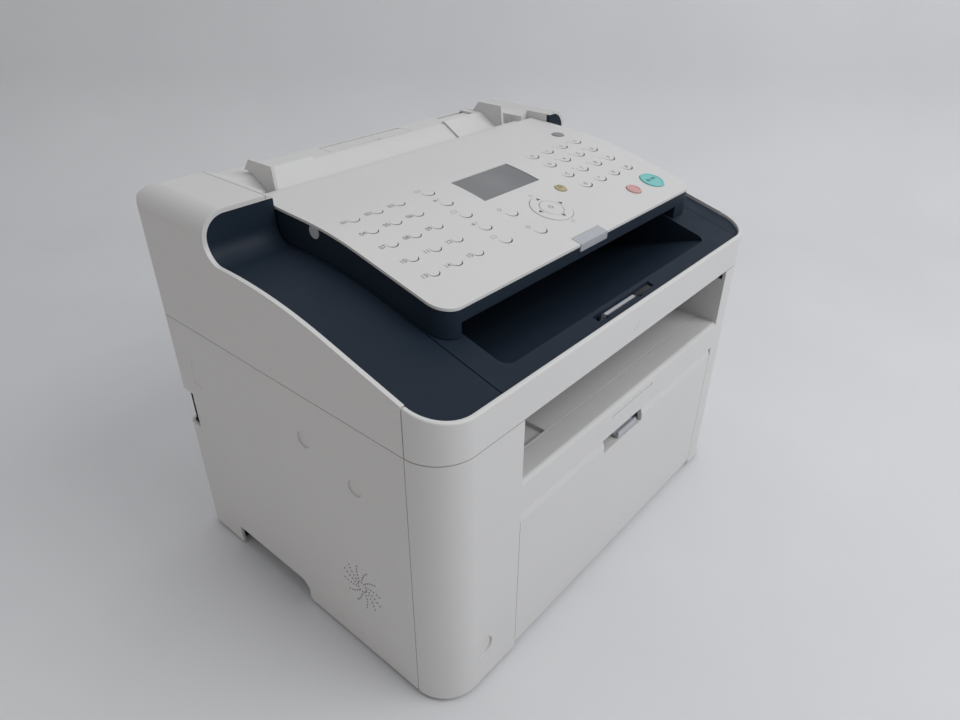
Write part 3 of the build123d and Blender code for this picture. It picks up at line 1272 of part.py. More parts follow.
def gear_disc(axis, teeth, bore, phase, relief):
    """Spur gear on an axis along X, with four relief holes where relief is its pitch radius."""
    with BuildPart() as gear:
        with BuildSketch(Plane.YZ.offset(GEAR_X0)) as gear_face:
            with Locations(axis):
                add(spur_gear(teeth, GEAR_MODULE, bore, phase))
                if relief:
                    with PolarLocations(relief, 4, start_angle=45):
                        Circle(relief * 0.32, mode=Mode.SUBTRACT)
        extrude(gear_face.sketch, amount=GEAR_W)
    return gear


drum_gear = gear_disc(DRUM_AXIS, DRUM_TEETH, 4, DRUM_PHASE, 10.5)
save(drum_gear, "drum_gear")
fuser_gear = gear_disc(FUSER_AXIS, FUSER_TEETH, 3.5, FUSER_PHASE, 18)
save(fuser_gear, "fuser_gear")
motor_pinion = gear_disc(MOTOR_AXIS, MOTOR_TEETH, 1.0, MOTOR_PHASE, 0)
with motor_pinion:
    rod(MOTOR_AXIS, 1.5, 136, GEAR_X0 + GEAR_W)
save(motor_pinion, "motor_pinion")

with BuildPart() as main_motor:
    rod(MOTOR_AXIS, 14, 131, 150.5)
    block(150.5, FRAME_X1, MOTOR_AXIS[0] - 15, MOTOR_AXIS[0] + 10, MOTOR_AXIS[1] - 18, MOTOR_AXIS[1] + 4)
    rod(MOTOR_AXIS, 1.5 + RUN, 135, 153, mode=Mode.SUBTRACT)
save(main_motor, "main_motor")

with BuildPart() as toner_cartridge:
    side_plate(
        [
            (28, 84),
            (60, 78),
            (92, 84),
            (94, 160),
            (60, 170),
            (26, 156),
            (24, 150),
            (24, 118),
            (28, 113),
        ],
        ROLLER_X0 - 6,
        ROLLER_X1,
    )
    # handle on top of the cartridge
    for post_x in (CENTRE_X - 42, CENTRE_X + 38):
        block(post_x, post_x + 4, 52, 68, 164, 182)
    block(CENTRE_X - 42, CENTRE_X + 42, 52, 68, 179, 182)
save(toner_cartridge, "toner_cartridge")

with BuildPart() as laser_scanner:
    block(-75, 105, 40, 118, 26, 66)
    block(-79, 109, 36, 122, 62, 66)
    block(-70, 100, 46, 112, 66, 68)
    block(-60, 90, 39, 44, 52, 58, mode=Mode.SUBTRACT)
save(laser_scanner, "laser_scanner")


# ---------------------------------------------------------------- electrics
with BuildPart() as main_board:
    block(-150, -148.4, -84, 100, 34, 172)
    for chip_y, chip_z, chip_w, chip_h, chip_t in (
        (-50, 130, 28, 28, 3),
        (10, 130, 20, 14, 3),
        (50, 140, 14, 20, 3),
        (0, 90, 30, 34, 22),
        (60, 60, 22, 22, 16),
        (-10, 50, 12, 12, 20),
    ):
        block(
            -150 - chip_t, -150, chip_y - chip_w / 2, chip_y + chip_w / 2,
            chip_z - chip_h / 2, chip_z + chip_h / 2,
        )
save(main_board, "main_board")

with BuildPart() as speaker:
    rod(GRILLE, 20.5, -HALF_W + WALL, -HALF_W + WALL + 2.5)
    rod(GRILLE, 17, -HALF_W + WALL + 2.5, -174)
    rod(GRILLE, 9, -174, -168)
save(speaker, "speaker")

with BuildPart() as phone_jacks:
    block(-181, -165, 120.5, 134.5, JACK_Z0 + 0.3, JACK_Z1 - 0.3)
    for jack_z in (JACK_Z0 + 8, JACK_Z0 + 23):
        block(-182, -170, 121.8, 133.2, jack_z - 5.5, jack_z + 5.5, mode=Mode.SUBTRACT)
        block(-182, -170, 125, 130, jack_z + 5.4, jack_z + 6.8, mode=Mode.SUBTRACT)
save(phone_jacks, "phone_jacks")

with BuildPart() as power_inlet:
    block(INLET[0] + 0.3, INLET[1] - 0.3, 116, HALF_D - 0.6, INLET[2] + 0.3, INLET[3] - 0.3)
    block(INLET[0] + 2.3, INLET[1] - 2.3, 120, HALF_D, INLET[2] + 2.5, INLET[3] - 2.5, mode=Mode.SUBTRACT)
    for blade_x, blade_z in ((119, 33), (133, 33), (126, 38)):
        block(blade_x - 1, blade_x + 1, 119, 134, blade_z - 2, blade_z + 2)
save(power_inlet, "power_inlet")

with BuildPart() as power_switch:
    rod(SWITCH_AXIS, 7, SWITCH_X0, SWITCH_X1)
    side_plate(
        [(138, 43), (134.6, 43), (132.6, 33.4), (137, 26), (138, 26)],
        SWITCH_X0 - 1,
        SWITCH_X1 + 1,
        mode=Mode.SUBTRACT,
    )
    rod(SWITCH_AXIS, 1.5, SWITCH_X0 - 3.2, SWITCH_X1 + 3.2)
save(power_switch, "power_switch")
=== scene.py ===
import json
import math

import bmesh
import bpy
from mathutils import Matrix, Vector
from mathutils.bvhtree import BVHTree


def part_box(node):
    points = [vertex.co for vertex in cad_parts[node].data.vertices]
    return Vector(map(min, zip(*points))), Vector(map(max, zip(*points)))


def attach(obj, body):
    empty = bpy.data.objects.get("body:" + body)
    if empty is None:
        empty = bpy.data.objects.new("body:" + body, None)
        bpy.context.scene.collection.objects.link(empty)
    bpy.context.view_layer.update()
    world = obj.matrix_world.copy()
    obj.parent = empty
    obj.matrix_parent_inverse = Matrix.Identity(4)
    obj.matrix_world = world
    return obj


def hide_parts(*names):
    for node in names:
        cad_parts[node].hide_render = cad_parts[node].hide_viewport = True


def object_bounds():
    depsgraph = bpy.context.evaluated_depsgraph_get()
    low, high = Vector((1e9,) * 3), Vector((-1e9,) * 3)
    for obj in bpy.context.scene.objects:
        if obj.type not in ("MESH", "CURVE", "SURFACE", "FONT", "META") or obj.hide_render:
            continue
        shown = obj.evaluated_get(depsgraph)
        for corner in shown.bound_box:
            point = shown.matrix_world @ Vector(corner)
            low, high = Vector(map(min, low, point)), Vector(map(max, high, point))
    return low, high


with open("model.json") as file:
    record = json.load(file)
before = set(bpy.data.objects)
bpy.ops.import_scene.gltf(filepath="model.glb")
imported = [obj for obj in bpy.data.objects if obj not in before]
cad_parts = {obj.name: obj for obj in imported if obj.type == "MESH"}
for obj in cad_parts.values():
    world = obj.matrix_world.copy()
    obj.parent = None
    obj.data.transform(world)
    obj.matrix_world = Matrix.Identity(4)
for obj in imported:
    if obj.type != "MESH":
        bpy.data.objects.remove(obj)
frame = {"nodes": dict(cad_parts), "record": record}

MM = 0.001
nodes = frame["nodes"]
cad_low, cad_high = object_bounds()


def linked(name, data):
    """New object in the scene with the given mesh, light, camera or curve."""
    piece = bpy.data.objects.new(name, data)
    bpy.context.scene.collection.objects.link(piece)
    return piece


# ---------------------------------------------------------------- camera
CAMERA_PLACE = Vector((-0.3792, -0.3284, 0.4439))
CAMERA_FORWARD = Vector((0.6448, 0.5517, -0.5291)).normalized()
CAMERA_DOWN = Vector((-0.3976, -0.3491, -0.8486)).normalized()
CAMERA_LENS = 26.7
SENSOR_WIDTH = 36


def make_camera():
    """Camera at the front left, above the machine, looking down at it."""
    data = bpy.data.cameras.new("camera")
    data.lens = CAMERA_LENS
    data.sensor_width = SENSOR_WIDTH
    data.dof.use_dof = False
    camera = linked("camera", data)
    back = -CAMERA_FORWARD
    right = CAMERA_FORWARD.cross(-CAMERA_DOWN).normalized()
    up = back.cross(right).normalized()
    turn = Matrix((right, up, back)).transposed()
    camera.matrix_world = Matrix.Translation(CAMERA_PLACE) @ turn.to_4x4()
    bpy.context.scene.camera = camera


# ---------------------------------------------------------------- materials
def new_material(name, color, roughness, metallic=0.0, coat=0.0, ior=1.46):
    """Principled material; returns it with its tree and shader."""
    material = bpy.data.materials.new(name)
    material.use_nodes = True
    tree = material.node_tree
    shader = tree.nodes["Principled BSDF"]
    shader.inputs["Base Color"].default_value = (*color, 1)
    shader.inputs["Roughness"].default_value = roughness
    shader.inputs["Metallic"].default_value = metallic
    shader.inputs["IOR"].default_value = ior
    shader.inputs["Coat Weight"].default_value = coat
    return material, tree, shader


def noise(tree, scale, detail=4.0, roughness=0.5, stretch=(1, 1, 1)):
    """Noise in the part's own space, at scale cells per metre."""
    place = tree.nodes.new("ShaderNodeTexCoord")
    mapping = tree.nodes.new("ShaderNodeMapping")
    mapping.inputs["Scale"].default_value = stretch
    texture = tree.nodes.new("ShaderNodeTexNoise")
    texture.inputs["Scale"].default_value = scale
    texture.inputs["Detail"].default_value = detail
    texture.inputs["Roughness"].default_value = roughness
    tree.links.new(place.outputs["Object"], mapping.inputs["Vector"])
    tree.links.new(mapping.outputs["Vector"], texture.inputs["Vector"])
    return texture.outputs["Fac"]


def spread(tree, value, low, high, start=0.3, end=0.7):
    """Maps a 0 to 1 value from start..end to low..high."""
    ramp = tree.nodes.new("ShaderNodeMapRange")
    ramp.inputs["From Min"].default_value = start
    ramp.inputs["From Max"].default_value = end
    ramp.inputs["To Min"].default_value = low
    ramp.inputs["To Max"].default_value = high
    tree.links.new(value, ramp.inputs["Value"])
    return ramp.outputs["Result"]


def tint(tree, shader, factor, first, second):
    """Base colour that goes from first to second with factor."""
    mix = tree.nodes.new("ShaderNodeMix")
    mix.data_type = "RGBA"
    mix.inputs["A"].default_value = (*first, 1)
    mix.inputs["B"].default_value = (*second, 1)
    tree.links.new(factor, mix.inputs["Factor"])
    tree.links.new(mix.outputs["Result"], shader.inputs["Base Color"])


def bump(tree, shader, value, distance, strength=1.0):
    """Bump of the given depth in metres."""
    node = tree.nodes.new("ShaderNodeBump")
    node.inputs["Strength"].default_value = strength
    node.inputs["Distance"].default_value = distance
    tree.links.new(value, node.inputs["Height"])
    tree.links.new(node.outputs["Normal"], shader.inputs["Normal"])


def moulded(name, color, roughness, grain=1500.0, depth=0.00004, mottle=0.03, smudge=0.06, coat=0.0):
    """Moulded plastic: spark-eroded grain, faint mottling and handling marks in the gloss."""
    material, tree, shader = new_material(name, color, roughness, coat=coat)
    bump(tree, shader, noise(tree, grain, 3.0, 0.6), depth, 0.35)
    broad = spread(tree, noise(tree, 9.0, 5.0, 0.55), 0.0, 1.0)
    darker = [c * (1 - mottle) for c in color]
    lighter = [min(1.0, c * (1 + mottle)) for c in color]
    tint(tree, shader, broad, darker, lighter)
    marks = spread(tree, noise(tree, 38.0, 6.0, 0.62), roughness - smudge, roughness + smudge)
    tree.links.new(marks, shader.inputs["Roughness"])
    return material


def dusty_navy(name, color, roughness):
    """Dark moulded plastic with specks of pale dust."""
    material, tree, shader = new_material(name, color, roughness)
    shader.inputs["Specular IOR Level"].default_value = 0.2
    bump(tree, shader, noise(tree, 1500.0, 3.0, 0.6), 0.00005, 0.4)
    cells = tree.nodes.new("ShaderNodeTexVoronoi")
    cells.feature = "F1"
    cells.inputs["Scale"].default_value = 260.0
    place = tree.nodes.new("ShaderNodeTexCoord")
    tree.links.new(place.outputs["Object"], cells.inputs["Vector"])
    specks = spread(tree, cells.outputs["Distance"], 0.5, 0.0, 0.03, 0.09)
    patch = spread(tree, noise(tree, 30.0, 3.0, 0.5), 0.0, 1.0, 0.52, 0.72)
    both = tree.nodes.new("ShaderNodeMath")
    both.operation = "MULTIPLY"
    tree.links.new(specks, both.inputs[0])
    tree.links.new(patch, both.inputs[1])
    pale = [0.75 * c + 0.10 for c in color]
    tint(tree, shader, both.outputs["Value"], color, pale)
    marks = spread(tree, noise(tree, 26.0, 6.0, 0.6), roughness - 0.07, roughness + 0.09)
    tree.links.new(marks, shader.inputs["Roughness"])
    return material


def brushed(name, color, roughness):
    """Zinc-plated sheet with a faint rolling direction and spangle."""
    material, tree, shader = new_material(name, color, roughness, metallic=1.0)
    streak = noise(tree, 260.0, 4.0, 0.6, (1.0, 0.06, 1.0))
    bump(tree, shader, streak, 0.00004, 0.3)
    tree.links.new(spread(tree, streak, roughness - 0.08, roughness + 0.1), shader.inputs["Roughness"])
    flecks = spread(tree, noise(tree, 70.0, 2.0, 0.5), 0.0, 1.0)
    tint(tree, shader, flecks, [c * 0.88 for c in color], color)
    return material


def rubbery(name, color):
    """Matt rubber with a fine pebbled surface."""
    material, tree, shader = new_material(name, color, 0.82, ior=1.5)
    bump(tree, shader, noise(tree, 900.0, 4.0, 0.7), 0.0001, 0.5)
    tint(tree, shader, spread(tree, noise(tree, 40.0), 0.0, 1.0), color, [c * 1.5 for c in color])
    return material


def display_pane(name):
    """Tinted window over an unlit reflective display."""
    material, tree, shader = new_material(name, (0.17, 0.175, 0.18), 0.28, coat=0.4)
    shader.inputs["Coat Roughness"].default_value = 0.12
    shade = spread(tree, noise(tree, 16.0, 1.0, 0.4), 0.0, 1.0, 0.35, 0.65)
    tint(tree, shader, shade, (0.145, 0.150, 0.155), (0.205, 0.208, 0.212))
    rows = tree.nodes.new("ShaderNodeTexWave")
    rows.bands_direction = "X"
    rows.inputs["Scale"].default_value = 900.0
    place = tree.nodes.new("ShaderNodeTexCoord")
    tree.links.new(place.outputs["Object"], rows.inputs["Vector"])
    bump(tree, shader, rows.outputs["Fac"], 0.00001, 0.1)
    return material


def circuit(name):
    """Green solder mask with faint tracks."""
    mask = (0.02, 0.13, 0.05)
    material, tree, shader = new_material(name, mask, 0.35, coat=0.3)
    tracks = tree.nodes.new("ShaderNodeTexBrick")
    tracks.inputs["Scale"].default_value = 180.0
    tracks.inputs["Color1"].default_value = (*mask, 1)
    tracks.inputs["Color2"].default_value = (0.018, 0.11, 0.045, 1)
    tracks.inputs["Mortar"].default_value = (0.05, 0.22, 0.09, 1)
    tracks.inputs["Mortar Size"].default_value = 0.03
    place = tree.nodes.new("ShaderNodeTexCoord")
    turned = tree.nodes.new("ShaderNodeMapping")
    turned.inputs["Rotation"].default_value = (0, math.radians(90), 0)
    tree.links.new(place.outputs["Object"], turned.inputs["Vector"])
    tree.links.new(turned.outputs["Vector"], tracks.inputs["Vector"])
    tree.links.new(tracks.outputs["Color"], shader.inputs["Base Color"])
    return material


WHITE = (0.655, 0.650, 0.640)
NAVY = (0.0125, 0.0215, 0.036)
LIGHT_GREY = (0.46, 0.47, 0.50)
finishes = {
    "white_plastic": moulded("white_plastic", WHITE, 0.46, mottle=0.012),
    "navy_plastic": dusty_navy("navy_plastic", NAVY, 0.52),
    "light_grey_plastic": moulded("light_grey_plastic", LIGHT_GREY, 0.38, depth=0.00002),
    "black_plastic": moulded("black_plastic", (0.030, 0.031, 0.033), 0.48, mottle=0.15),
    "zinc_steel": brushed("zinc_steel", (0.56, 0.57, 0.58), 0.34),
    "rubber": rubbery("rubber", (0.020, 0.020, 0.021)),
    "circuit_board": circuit("circuit_board"),
    "drum_coating": moulded("drum_coating", (0.05, 0.24, 0.21), 0.12, depth=0.000004, coat=0.6),
    "gear_plastic": moulded("gear_plastic", (0.72, 0.70, 0.64), 0.34, depth=0.00001),
    "lens_plastic": moulded("lens_plastic", (0.43, 0.445, 0.48), 0.22, depth=0.000006, coat=0.3),
    "display_glass": display_pane("display_glass"),
    "teal_key": moulded("teal_key", (0.20, 0.56, 0.535), 0.34, depth=0.00001, mottle=0.04),
    "red_key": moulded("red_key", (0.62, 0.35, 0.33), 0.34, depth=0.00001, mottle=0.04),
    "olive_key": moulded("olive_key", (0.44, 0.39, 0.20), 0.36, depth=0.00001, mottle=0.04),
    "grey_key": moulded("grey_key", (0.24, 0.24, 0.245), 0.36, depth=0.00001, mottle=0.04),
}
ink_grey = moulded("ink_grey", (0.095, 0.095, 0.10), 0.55, depth=0.00001, mottle=0.1)
ink_pale = moulded("ink_pale", (0.33, 0.33, 0.34), 0.55, depth=0.00001, mottle=0.1)
ink_dark_teal = moulded("ink_dark_teal", (0.03, 0.22, 0.21), 0.5, depth=0.00001, mottle=0.1)
grille_shade = moulded("grille_shade", (0.035, 0.031, 0.028), 0.7)


# ---------------------------------------------------------------- pieces
def set_material(piece, material):
    """Gives a piece one material in place of any it has."""
    piece.data.materials.clear()
    piece.data.materials.append(material)


def body_of_node(name):
    """Body that a CAD node belongs to."""
    return next(body for body, members in frame["record"]["behaviour"]["bodies"].items() if name in members)


def slot_of_node(name):
    """Material slot that the record gives a CAD node."""
    return next(row["material_slot"] for row in frame["record"]["subparts"] if row["node"] == name)


# ---------------------------------------------------------------- shells with softened edges
GRILLE_Y = -61.7
GRILLE_Z = 66.5
GRILLE_RADIUS = 21
SHARP = math.radians(32)
WELD = 2e-6


def in_grille(place):
    """Whether a point is in the round field of speaker holes."""
    return math.hypot(place.y - GRILLE_Y * MM, place.z - GRILLE_Z * MM) < GRILLE_RADIUS * MM


def is_rim(edge):
    """Whether an edge is on the outer or inner lip of the side walls' rim."""
    if len(edge.link_faces) != 2:
        return False
    tilts = sorted(face.normal.z for face in edge.link_faces)
    return tilts[1] > 0.75 and abs(tilts[0]) < 0.3


def weigh_edges(form):
    """Marks the sharp edges outside the speaker holes as the ones to round."""
    weight = form.edges.layers.float.new("bevel_weight_edge")
    for edge in form.edges:
        sharp = len(edge.link_faces) == 2 and edge.calc_face_angle() > SHARP
        edge[weight] = float(sharp and not in_grille(edge.verts[0].co))


def softened(name, radius, rim_radius=None):
    """Copy of a CAD node with its sharp edges rounded, as a moulding's are, in place of the node."""
    form = bmesh.new()
    form.from_mesh(nodes[name].data)
    bmesh.ops.remove_doubles(form, verts=form.verts, dist=WELD)
    bmesh.ops.dissolve_limit(form, angle_limit=math.radians(0.6), verts=form.verts, edges=form.edges)
    if rim_radius:
        rim = [edge for edge in form.edges if is_rim(edge)]
        bmesh.ops.bevel(
            form, geom=rim, offset=rim_radius, segments=4, profile=0.5, affect="EDGES", clamp_overlap=True
        )
    has_grille = name == "left_cover"
    if has_grille:
        weigh_edges(form)
    mesh = bpy.data.meshes.new(name + "_shell")
    form.to_mesh(mesh)
    form.free()
    mesh.shade_smooth()
    piece = linked(name + "_shell", mesh)
    rounding = piece.modifiers.new("rounding", "BEVEL")
    rounding.width = radius
    rounding.segments = 2
    rounding.limit_method = "WEIGHT" if has_grille else "ANGLE"
    rounding.angle_limit = SHARP
    rounding.harden_normals = False
    rounding.use_clamp_overlap = True
    shading = piece.modifiers.new("shading", "WEIGHTED_NORMAL")
    shading.keep_sharp = True
    set_material(piece, finishes[slot_of_node(name)])
    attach(piece, body_of_node(name))
    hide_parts(name)


# Radius in metres that each moulding's edges are rounded to, and a larger one for the walls' rims.
SHELLS = {
    "left_cover": 0.00035,
    "right_cover": 0.00035,
    "rear_cover": 0.00035,
    "front_cover": 0.0004,
    "front_band": 0.0003,
    "upper_left_cover": 0.0003,
    "upper_right_cover": 0.0003,
    "tray_left": 0.0003,
    "tray_right": 0.0003,
    "tray_cover": 0.0004,
    "adf_cover": 0.0005,
    "document_support": 0.0003,
    "document_guide_left": 0.0005,
    "document_guide_right": 0.0005,
    "panel_top": 0.00025,
    "panel_base": 0.0006,
    "lamp_lens": 0.0003,
    "front_door": 0.0004,
    "door_latch": 0.0003,
    "grip_latch": 0.0003,
    "output_tray": 0.0003,
    "output_stop": 0.0002,
    "toner_cartridge": 0.0006,
    "power_switch": 0.0003,
    "power_inlet": 0.0003,
    "phone_jacks": 0.0002,
}
RIMS = {"front_band": 0.0011, "upper_left_cover": 0.0011, "upper_right_cover": 0.0011}


def finish_nodes():
    """Rounds the mouldings and gives every other node its finish."""
    for name, node in nodes.items():
        if name in SHELLS:
            softened(name, SHELLS[name], RIMS.get(name))
        else:
            set_material(node, finishes[slot_of_node(name)])


# ---------------------------------------------------------------- printed marks
LIFT = 0.06
KEY_LIFT = 0.05
SIZE_PER_HEIGHT = 1.35


def surface_of(name):
    """Search tree of a CAD node's surface."""
    return BVHTree.FromObject(nodes[name], bpy.context.evaluated_depsgraph_get())


panel_surface = surface_of("panel_top")


def frame_on(surface, x, y, lift):
    """Matrix whose XY plane lies on top of the surface at (x, y), lifted by lift, in millimetres."""
    start = Vector((x * MM, y * MM, cad_high.z + 0.05))
    place, normal, _, _ = surface.ray_cast(start, Vector((0, 0, -1)))
    across = Vector((1, 0, 0))
    along = normal.cross(across).normalized()
    turn = Matrix((across, along, normal)).transposed()
    return Matrix.Translation(place + normal * lift * MM) @ turn.to_4x4()


def on_panel(x, y):
    """Matrix of a mark printed on the panel's skin at (x, y) in millimetres."""
    return frame_on(panel_surface, x, y, LIFT)


def on_key(name):
    """Matrix of a mark printed on the middle of a separate key."""
    low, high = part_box(name)
    return frame_on(surface_of(name), (low.x + high.x) / 2 / MM, (low.y + high.y) / 2 / MM, KEY_LIFT)


def text_form(text, size):
    """Flat filled letters of the given height in millimetres, centred on the origin, as a mesh."""
    curve = bpy.data.curves.new("letters", "FONT")
    curve.body = text
    curve.size = size * MM * SIZE_PER_HEIGHT
    curve.align_x = "CENTER"
    curve.align_y = "CENTER"
    curve.extrude = 0.01 * MM
    curve.offset = -0.03 * MM
    holder = linked("letters", curve)
    bpy.context.view_layer.update()
    graph = bpy.context.evaluated_depsgraph_get()
    mesh = bpy.data.meshes.new_from_object(holder.evaluated_get(graph))
    bpy.data.objects.remove(holder)
    return mesh


def polygon_form(points):
    """Flat polygon in millimetres as a mesh."""
    mesh = bpy.data.meshes.new("mark")
    mesh.from_pydata([(x * MM, y * MM, 0) for x, y in points], [], [list(range(len(points)))])
    return mesh


def rectangle_form(x0, y0, x1, y1):
    """Flat rectangle in millimetres as a mesh."""
    return polygon_form([(x0, y0), (x1, y0), (x1, y1), (x0, y1)])


def disc_form(radius):
    """Flat disc in millimetres as a mesh."""
    angles = [math.radians(30 * corner) for corner in range(12)]
    return polygon_form([(radius * math.cos(angle), radius * math.sin(angle)) for angle in angles])


def ring_form(outer, inner, start=0, end=360):
    """Flat ring or arc in millimetres as a mesh."""
    steps = 48
    points = []
    for step in range(steps + 1):
        angle = math.radians(start + (end - start) * step / steps)
        points.append((outer * math.cos(angle) * MM, outer * math.sin(angle) * MM, 0))
        points.append((inner * math.cos(angle) * MM, inner * math.sin(angle) * MM, 0))
    faces = [(2 * i, 2 * i + 2, 2 * i + 3, 2 * i + 1) for i in range(steps)]
    mesh = bpy.data.meshes.new("ring")
    mesh.from_pydata(points, [], faces)
    return mesh


def arc_form(radius, start, end, line):
    """Arc that tapers to both ends, angles in degrees and sizes in millimetres, as a mesh."""
    steps = 28
    points = []
    for step in range(steps + 1):
        share = step / steps
        angle = math.radians(start + (end - start) * share)
        half = line / 2 * math.sqrt(max(math.sin(math.pi * share), 0.0))
        for reach in (radius + half, radius - half):
            points.append((reach * math.cos(angle) * MM, reach * math.sin(angle) * MM, 0))
    faces = [(2 * i, 2 * i + 1, 2 * i + 3, 2 * i + 2) for i in range(steps)]
    mesh = bpy.data.meshes.new("arc")
    mesh.from_pydata(points, [], faces)
    return mesh


def marks_piece(name, marks, material, body):
    """One piece made of several marks, each a mesh and the matrix that places it."""
    joined = bmesh.new()
    for mesh, place in marks:
        mesh.transform(place)
        joined.from_mesh(mesh)
    mesh = bpy.data.meshes.new(name)
    joined.to_mesh(mesh)
    joined.free()
    piece = linked(name, mesh)
    set_material(piece, material)
    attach(piece, body)


PITCH_X = 19.7
PITCH_Y = 17.2
TOP_ROW_Y = 8.5
ONE_TOUCH_X = -108.6
KEYPAD_X = 76.5
FUNCTION_X = -41.5
ONE_TOUCH_RADIUS = 4.2
KEYPAD_RADIUS = 5.6
FUNCTION_RADIUS = 4.7
EXTRA_KEYS = [(-11.1, -41.0), (-10.6, -65.5)]
EXTRA_ICONS = [(-16.4, -34.4), (-16.0, -59.2)]
RING_LABELS = [(20.2, -33.4), (20.2, -70.8)]
KEYPAD_SIGNS = [["", "1", "2", "3"], ["", "4", "5", "6"], ["C", "7", "8", "9"], ["", "*", "0", "#"]]


def key_grid(first_x, columns, rows):
    """Row, column and centre of each key in a block of soft keys."""
    return [
        (row, column, first_x + PITCH_X * column, TOP_ROW_Y - PITCH_Y * row)
        for row in range(rows)
        for column in range(columns)
    ]


def print_panel():
    """Numbers beside the keys and plain icons, printed on the panel's skin."""
    numbers = []
    for row, column, x, y in key_grid(ONE_TOUCH_X, 3, 5):
        number = text_form(f"{3 * row + column + 1:02d}", 3.6)
        numbers.append((number, on_panel(x - 7.5, y - 0.4)))
    marks_piece("one_touch_numbers", numbers, ink_grey, "panel")
    digits = []
    dashes = []
    for row, column, x, y in key_grid(KEYPAD_X, 4, 4):
        sign = KEYPAD_SIGNS[row][column]
        if sign:
            digits.append((text_form(sign, 3.9), on_panel(x, y - 0.2)))
        else:
            digits.append((ring_form(1.5, 1.1), on_panel(x, y)))
        if sign.isdigit() and sign not in "10":
            for part in range(2):
                dash = rectangle_form(-1.1, -0.2, 1.1, 0.2)
                dashes.append((dash, on_panel(x - 8.6 + 0.5 * part, y + 3.2 - 1.1 * part)))
    marks_piece("keypad_numbers", digits, ink_grey, "panel")
    marks_piece("keypad_dashes", dashes, ink_pale, "panel")
    marks_piece("key_outlines", key_outlines(), ink_grey, "panel")
    marks_piece("function_icons", function_icons(), ink_pale, "panel")


def key_outlines():
    """Dark outlines along the slits of the soft keys."""
    spots = [(x, y, ONE_TOUCH_RADIUS) for _, _, x, y in key_grid(ONE_TOUCH_X, 3, 5)]
    spots += [(x, y, KEYPAD_RADIUS) for _, _, x, y in key_grid(KEYPAD_X, 4, 4)]
    spots += [(x, y, FUNCTION_RADIUS) for _, _, x, y in key_grid(FUNCTION_X, 1, 5)]
    spots += [(x, y, FUNCTION_RADIUS) for x, y in EXTRA_KEYS]
    return [(arc_form(radius + 0.1, 152, 342, 0.38), on_panel(x, y)) for x, y, radius in spots]


def frame_of_bars(width, height, line):
    """Outline of a rectangle as four bars, in millimetres."""
    across, up = width / 2, height / 2
    return [
        rectangle_form(-across, up - line, across, up),
        rectangle_form(-across, -up, across, -up + line),
        rectangle_form(-across, -up + line, -across + line, up - line),
        rectangle_form(across - line, -up + line, across, up - line),
    ]


def function_icons():
    """Sheet, lamp and arrow icons beside the function keys, and the labels of the navigation ring."""
    icons = []
    for row, _, x, y in key_grid(FUNCTION_X, 1, 5):
        spot = on_panel(x - 5.2, y + 5.6)
        if row % 2 == 0:
            icons += [(bar, spot) for bar in frame_of_bars(4.6, 2.8, 0.35)]
        else:
            icons.append((ring_form(1.3, 0.0), spot))
            icons.append((polygon_form([(1.8, -1.5), (2.3, -1.5), (4.0, 1.6), (3.5, 1.6)]), spot))
    for x, y in EXTRA_ICONS:
        icons.append((ring_form(1.7, 1.2, 20, 330), on_panel(x, y)))
        icons.append((polygon_form([(1.0, 0.6), (2.4, 0.6), (1.7, -0.7)]), on_panel(x, y)))
    for x, y in RING_LABELS:
        icons += [(bar, on_panel(x, y)) for bar in frame_of_bars(3.2, 1.8, 0.3)]
    return icons


def print_keys():
    """Plain icons on the separate keys."""
    start = on_key("start_key")
    diamond = polygon_form([(-6.4, 0), (-4.2, 2.2), (-2.0, 0), (-4.2, -2.2)])
    bars = [rectangle_form(x, -1.3, x + 1.5, 1.3) for x in (-0.4, 1.9, 4.2)]
    marks_piece("start_icon", [(form, start) for form in [diamond, *bars]], ink_dark_teal, "start_key")
    marks_piece("stop_icon", [(ring_form(2.6, 2.1), on_key("stop_key"))], finishes["red_key"], "stop_key")
    marks_piece("save_icon", [(ring_form(1.9, 1.3), on_key("save_key"))], ink_grey, "save_key")
    centre = on_key("ok_key")
    marks_piece("ok_icon", [(ring_form(1.9, 1.4), centre)], ink_grey, "ok_key")
    arrows = []
    for quarter in range(4):
        tip = polygon_form([(10.8, 1.9), (13.8, 0.0), (10.8, -1.9)])
        turn = Matrix.Rotation(math.radians(90 * quarter), 4, "Z")
        arrows.append((tip, centre @ Matrix.Translation((0, 0, -0.2 * MM)) @ turn))
    marks_piece("nav_arrows", arrows, ink_grey, "nav_ring")


# ---------------------------------------------------------------- small mouldings
LEFTWARD = Vector((-1, 0, 0))
FORWARD = Vector((0, -1, 0))
PLUG_Y = 18.3
PLUG_Z = 278.4
DOTS_X = 1.6
DOTS_Z = 211.4
DOT_PITCH_X = 3.6
DOT_PITCH_Z = 3.0


def facing(place, normal):
    """Matrix at a place whose Z axis is the normal."""
    return Matrix.Translation(place) @ normal.to_track_quat("Z", "Y").to_matrix().to_4x4()


def boss(name, place, radius, height, body, slot_name):
    """Thin round boss with a softened rim, standing on a surface; sizes in millimetres."""
    form = bmesh.new()
    bmesh.ops.create_cone(
        form, cap_ends=True, segments=40, radius1=radius * MM, radius2=radius * MM, depth=height * MM
    )
    upper = [edge for edge in form.edges if all(vertex.co.z > 0 for vertex in edge.verts)]
    bmesh.ops.bevel(form, geom=upper, offset=0.15 * MM, segments=3, profile=0.5, affect="EDGES")
    mesh = bpy.data.meshes.new(name)
    form.to_mesh(mesh)
    form.free()
    piece = linked(name, mesh)
    piece.matrix_world = place
    set_material(piece, finishes[slot_name])
    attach(piece, body)


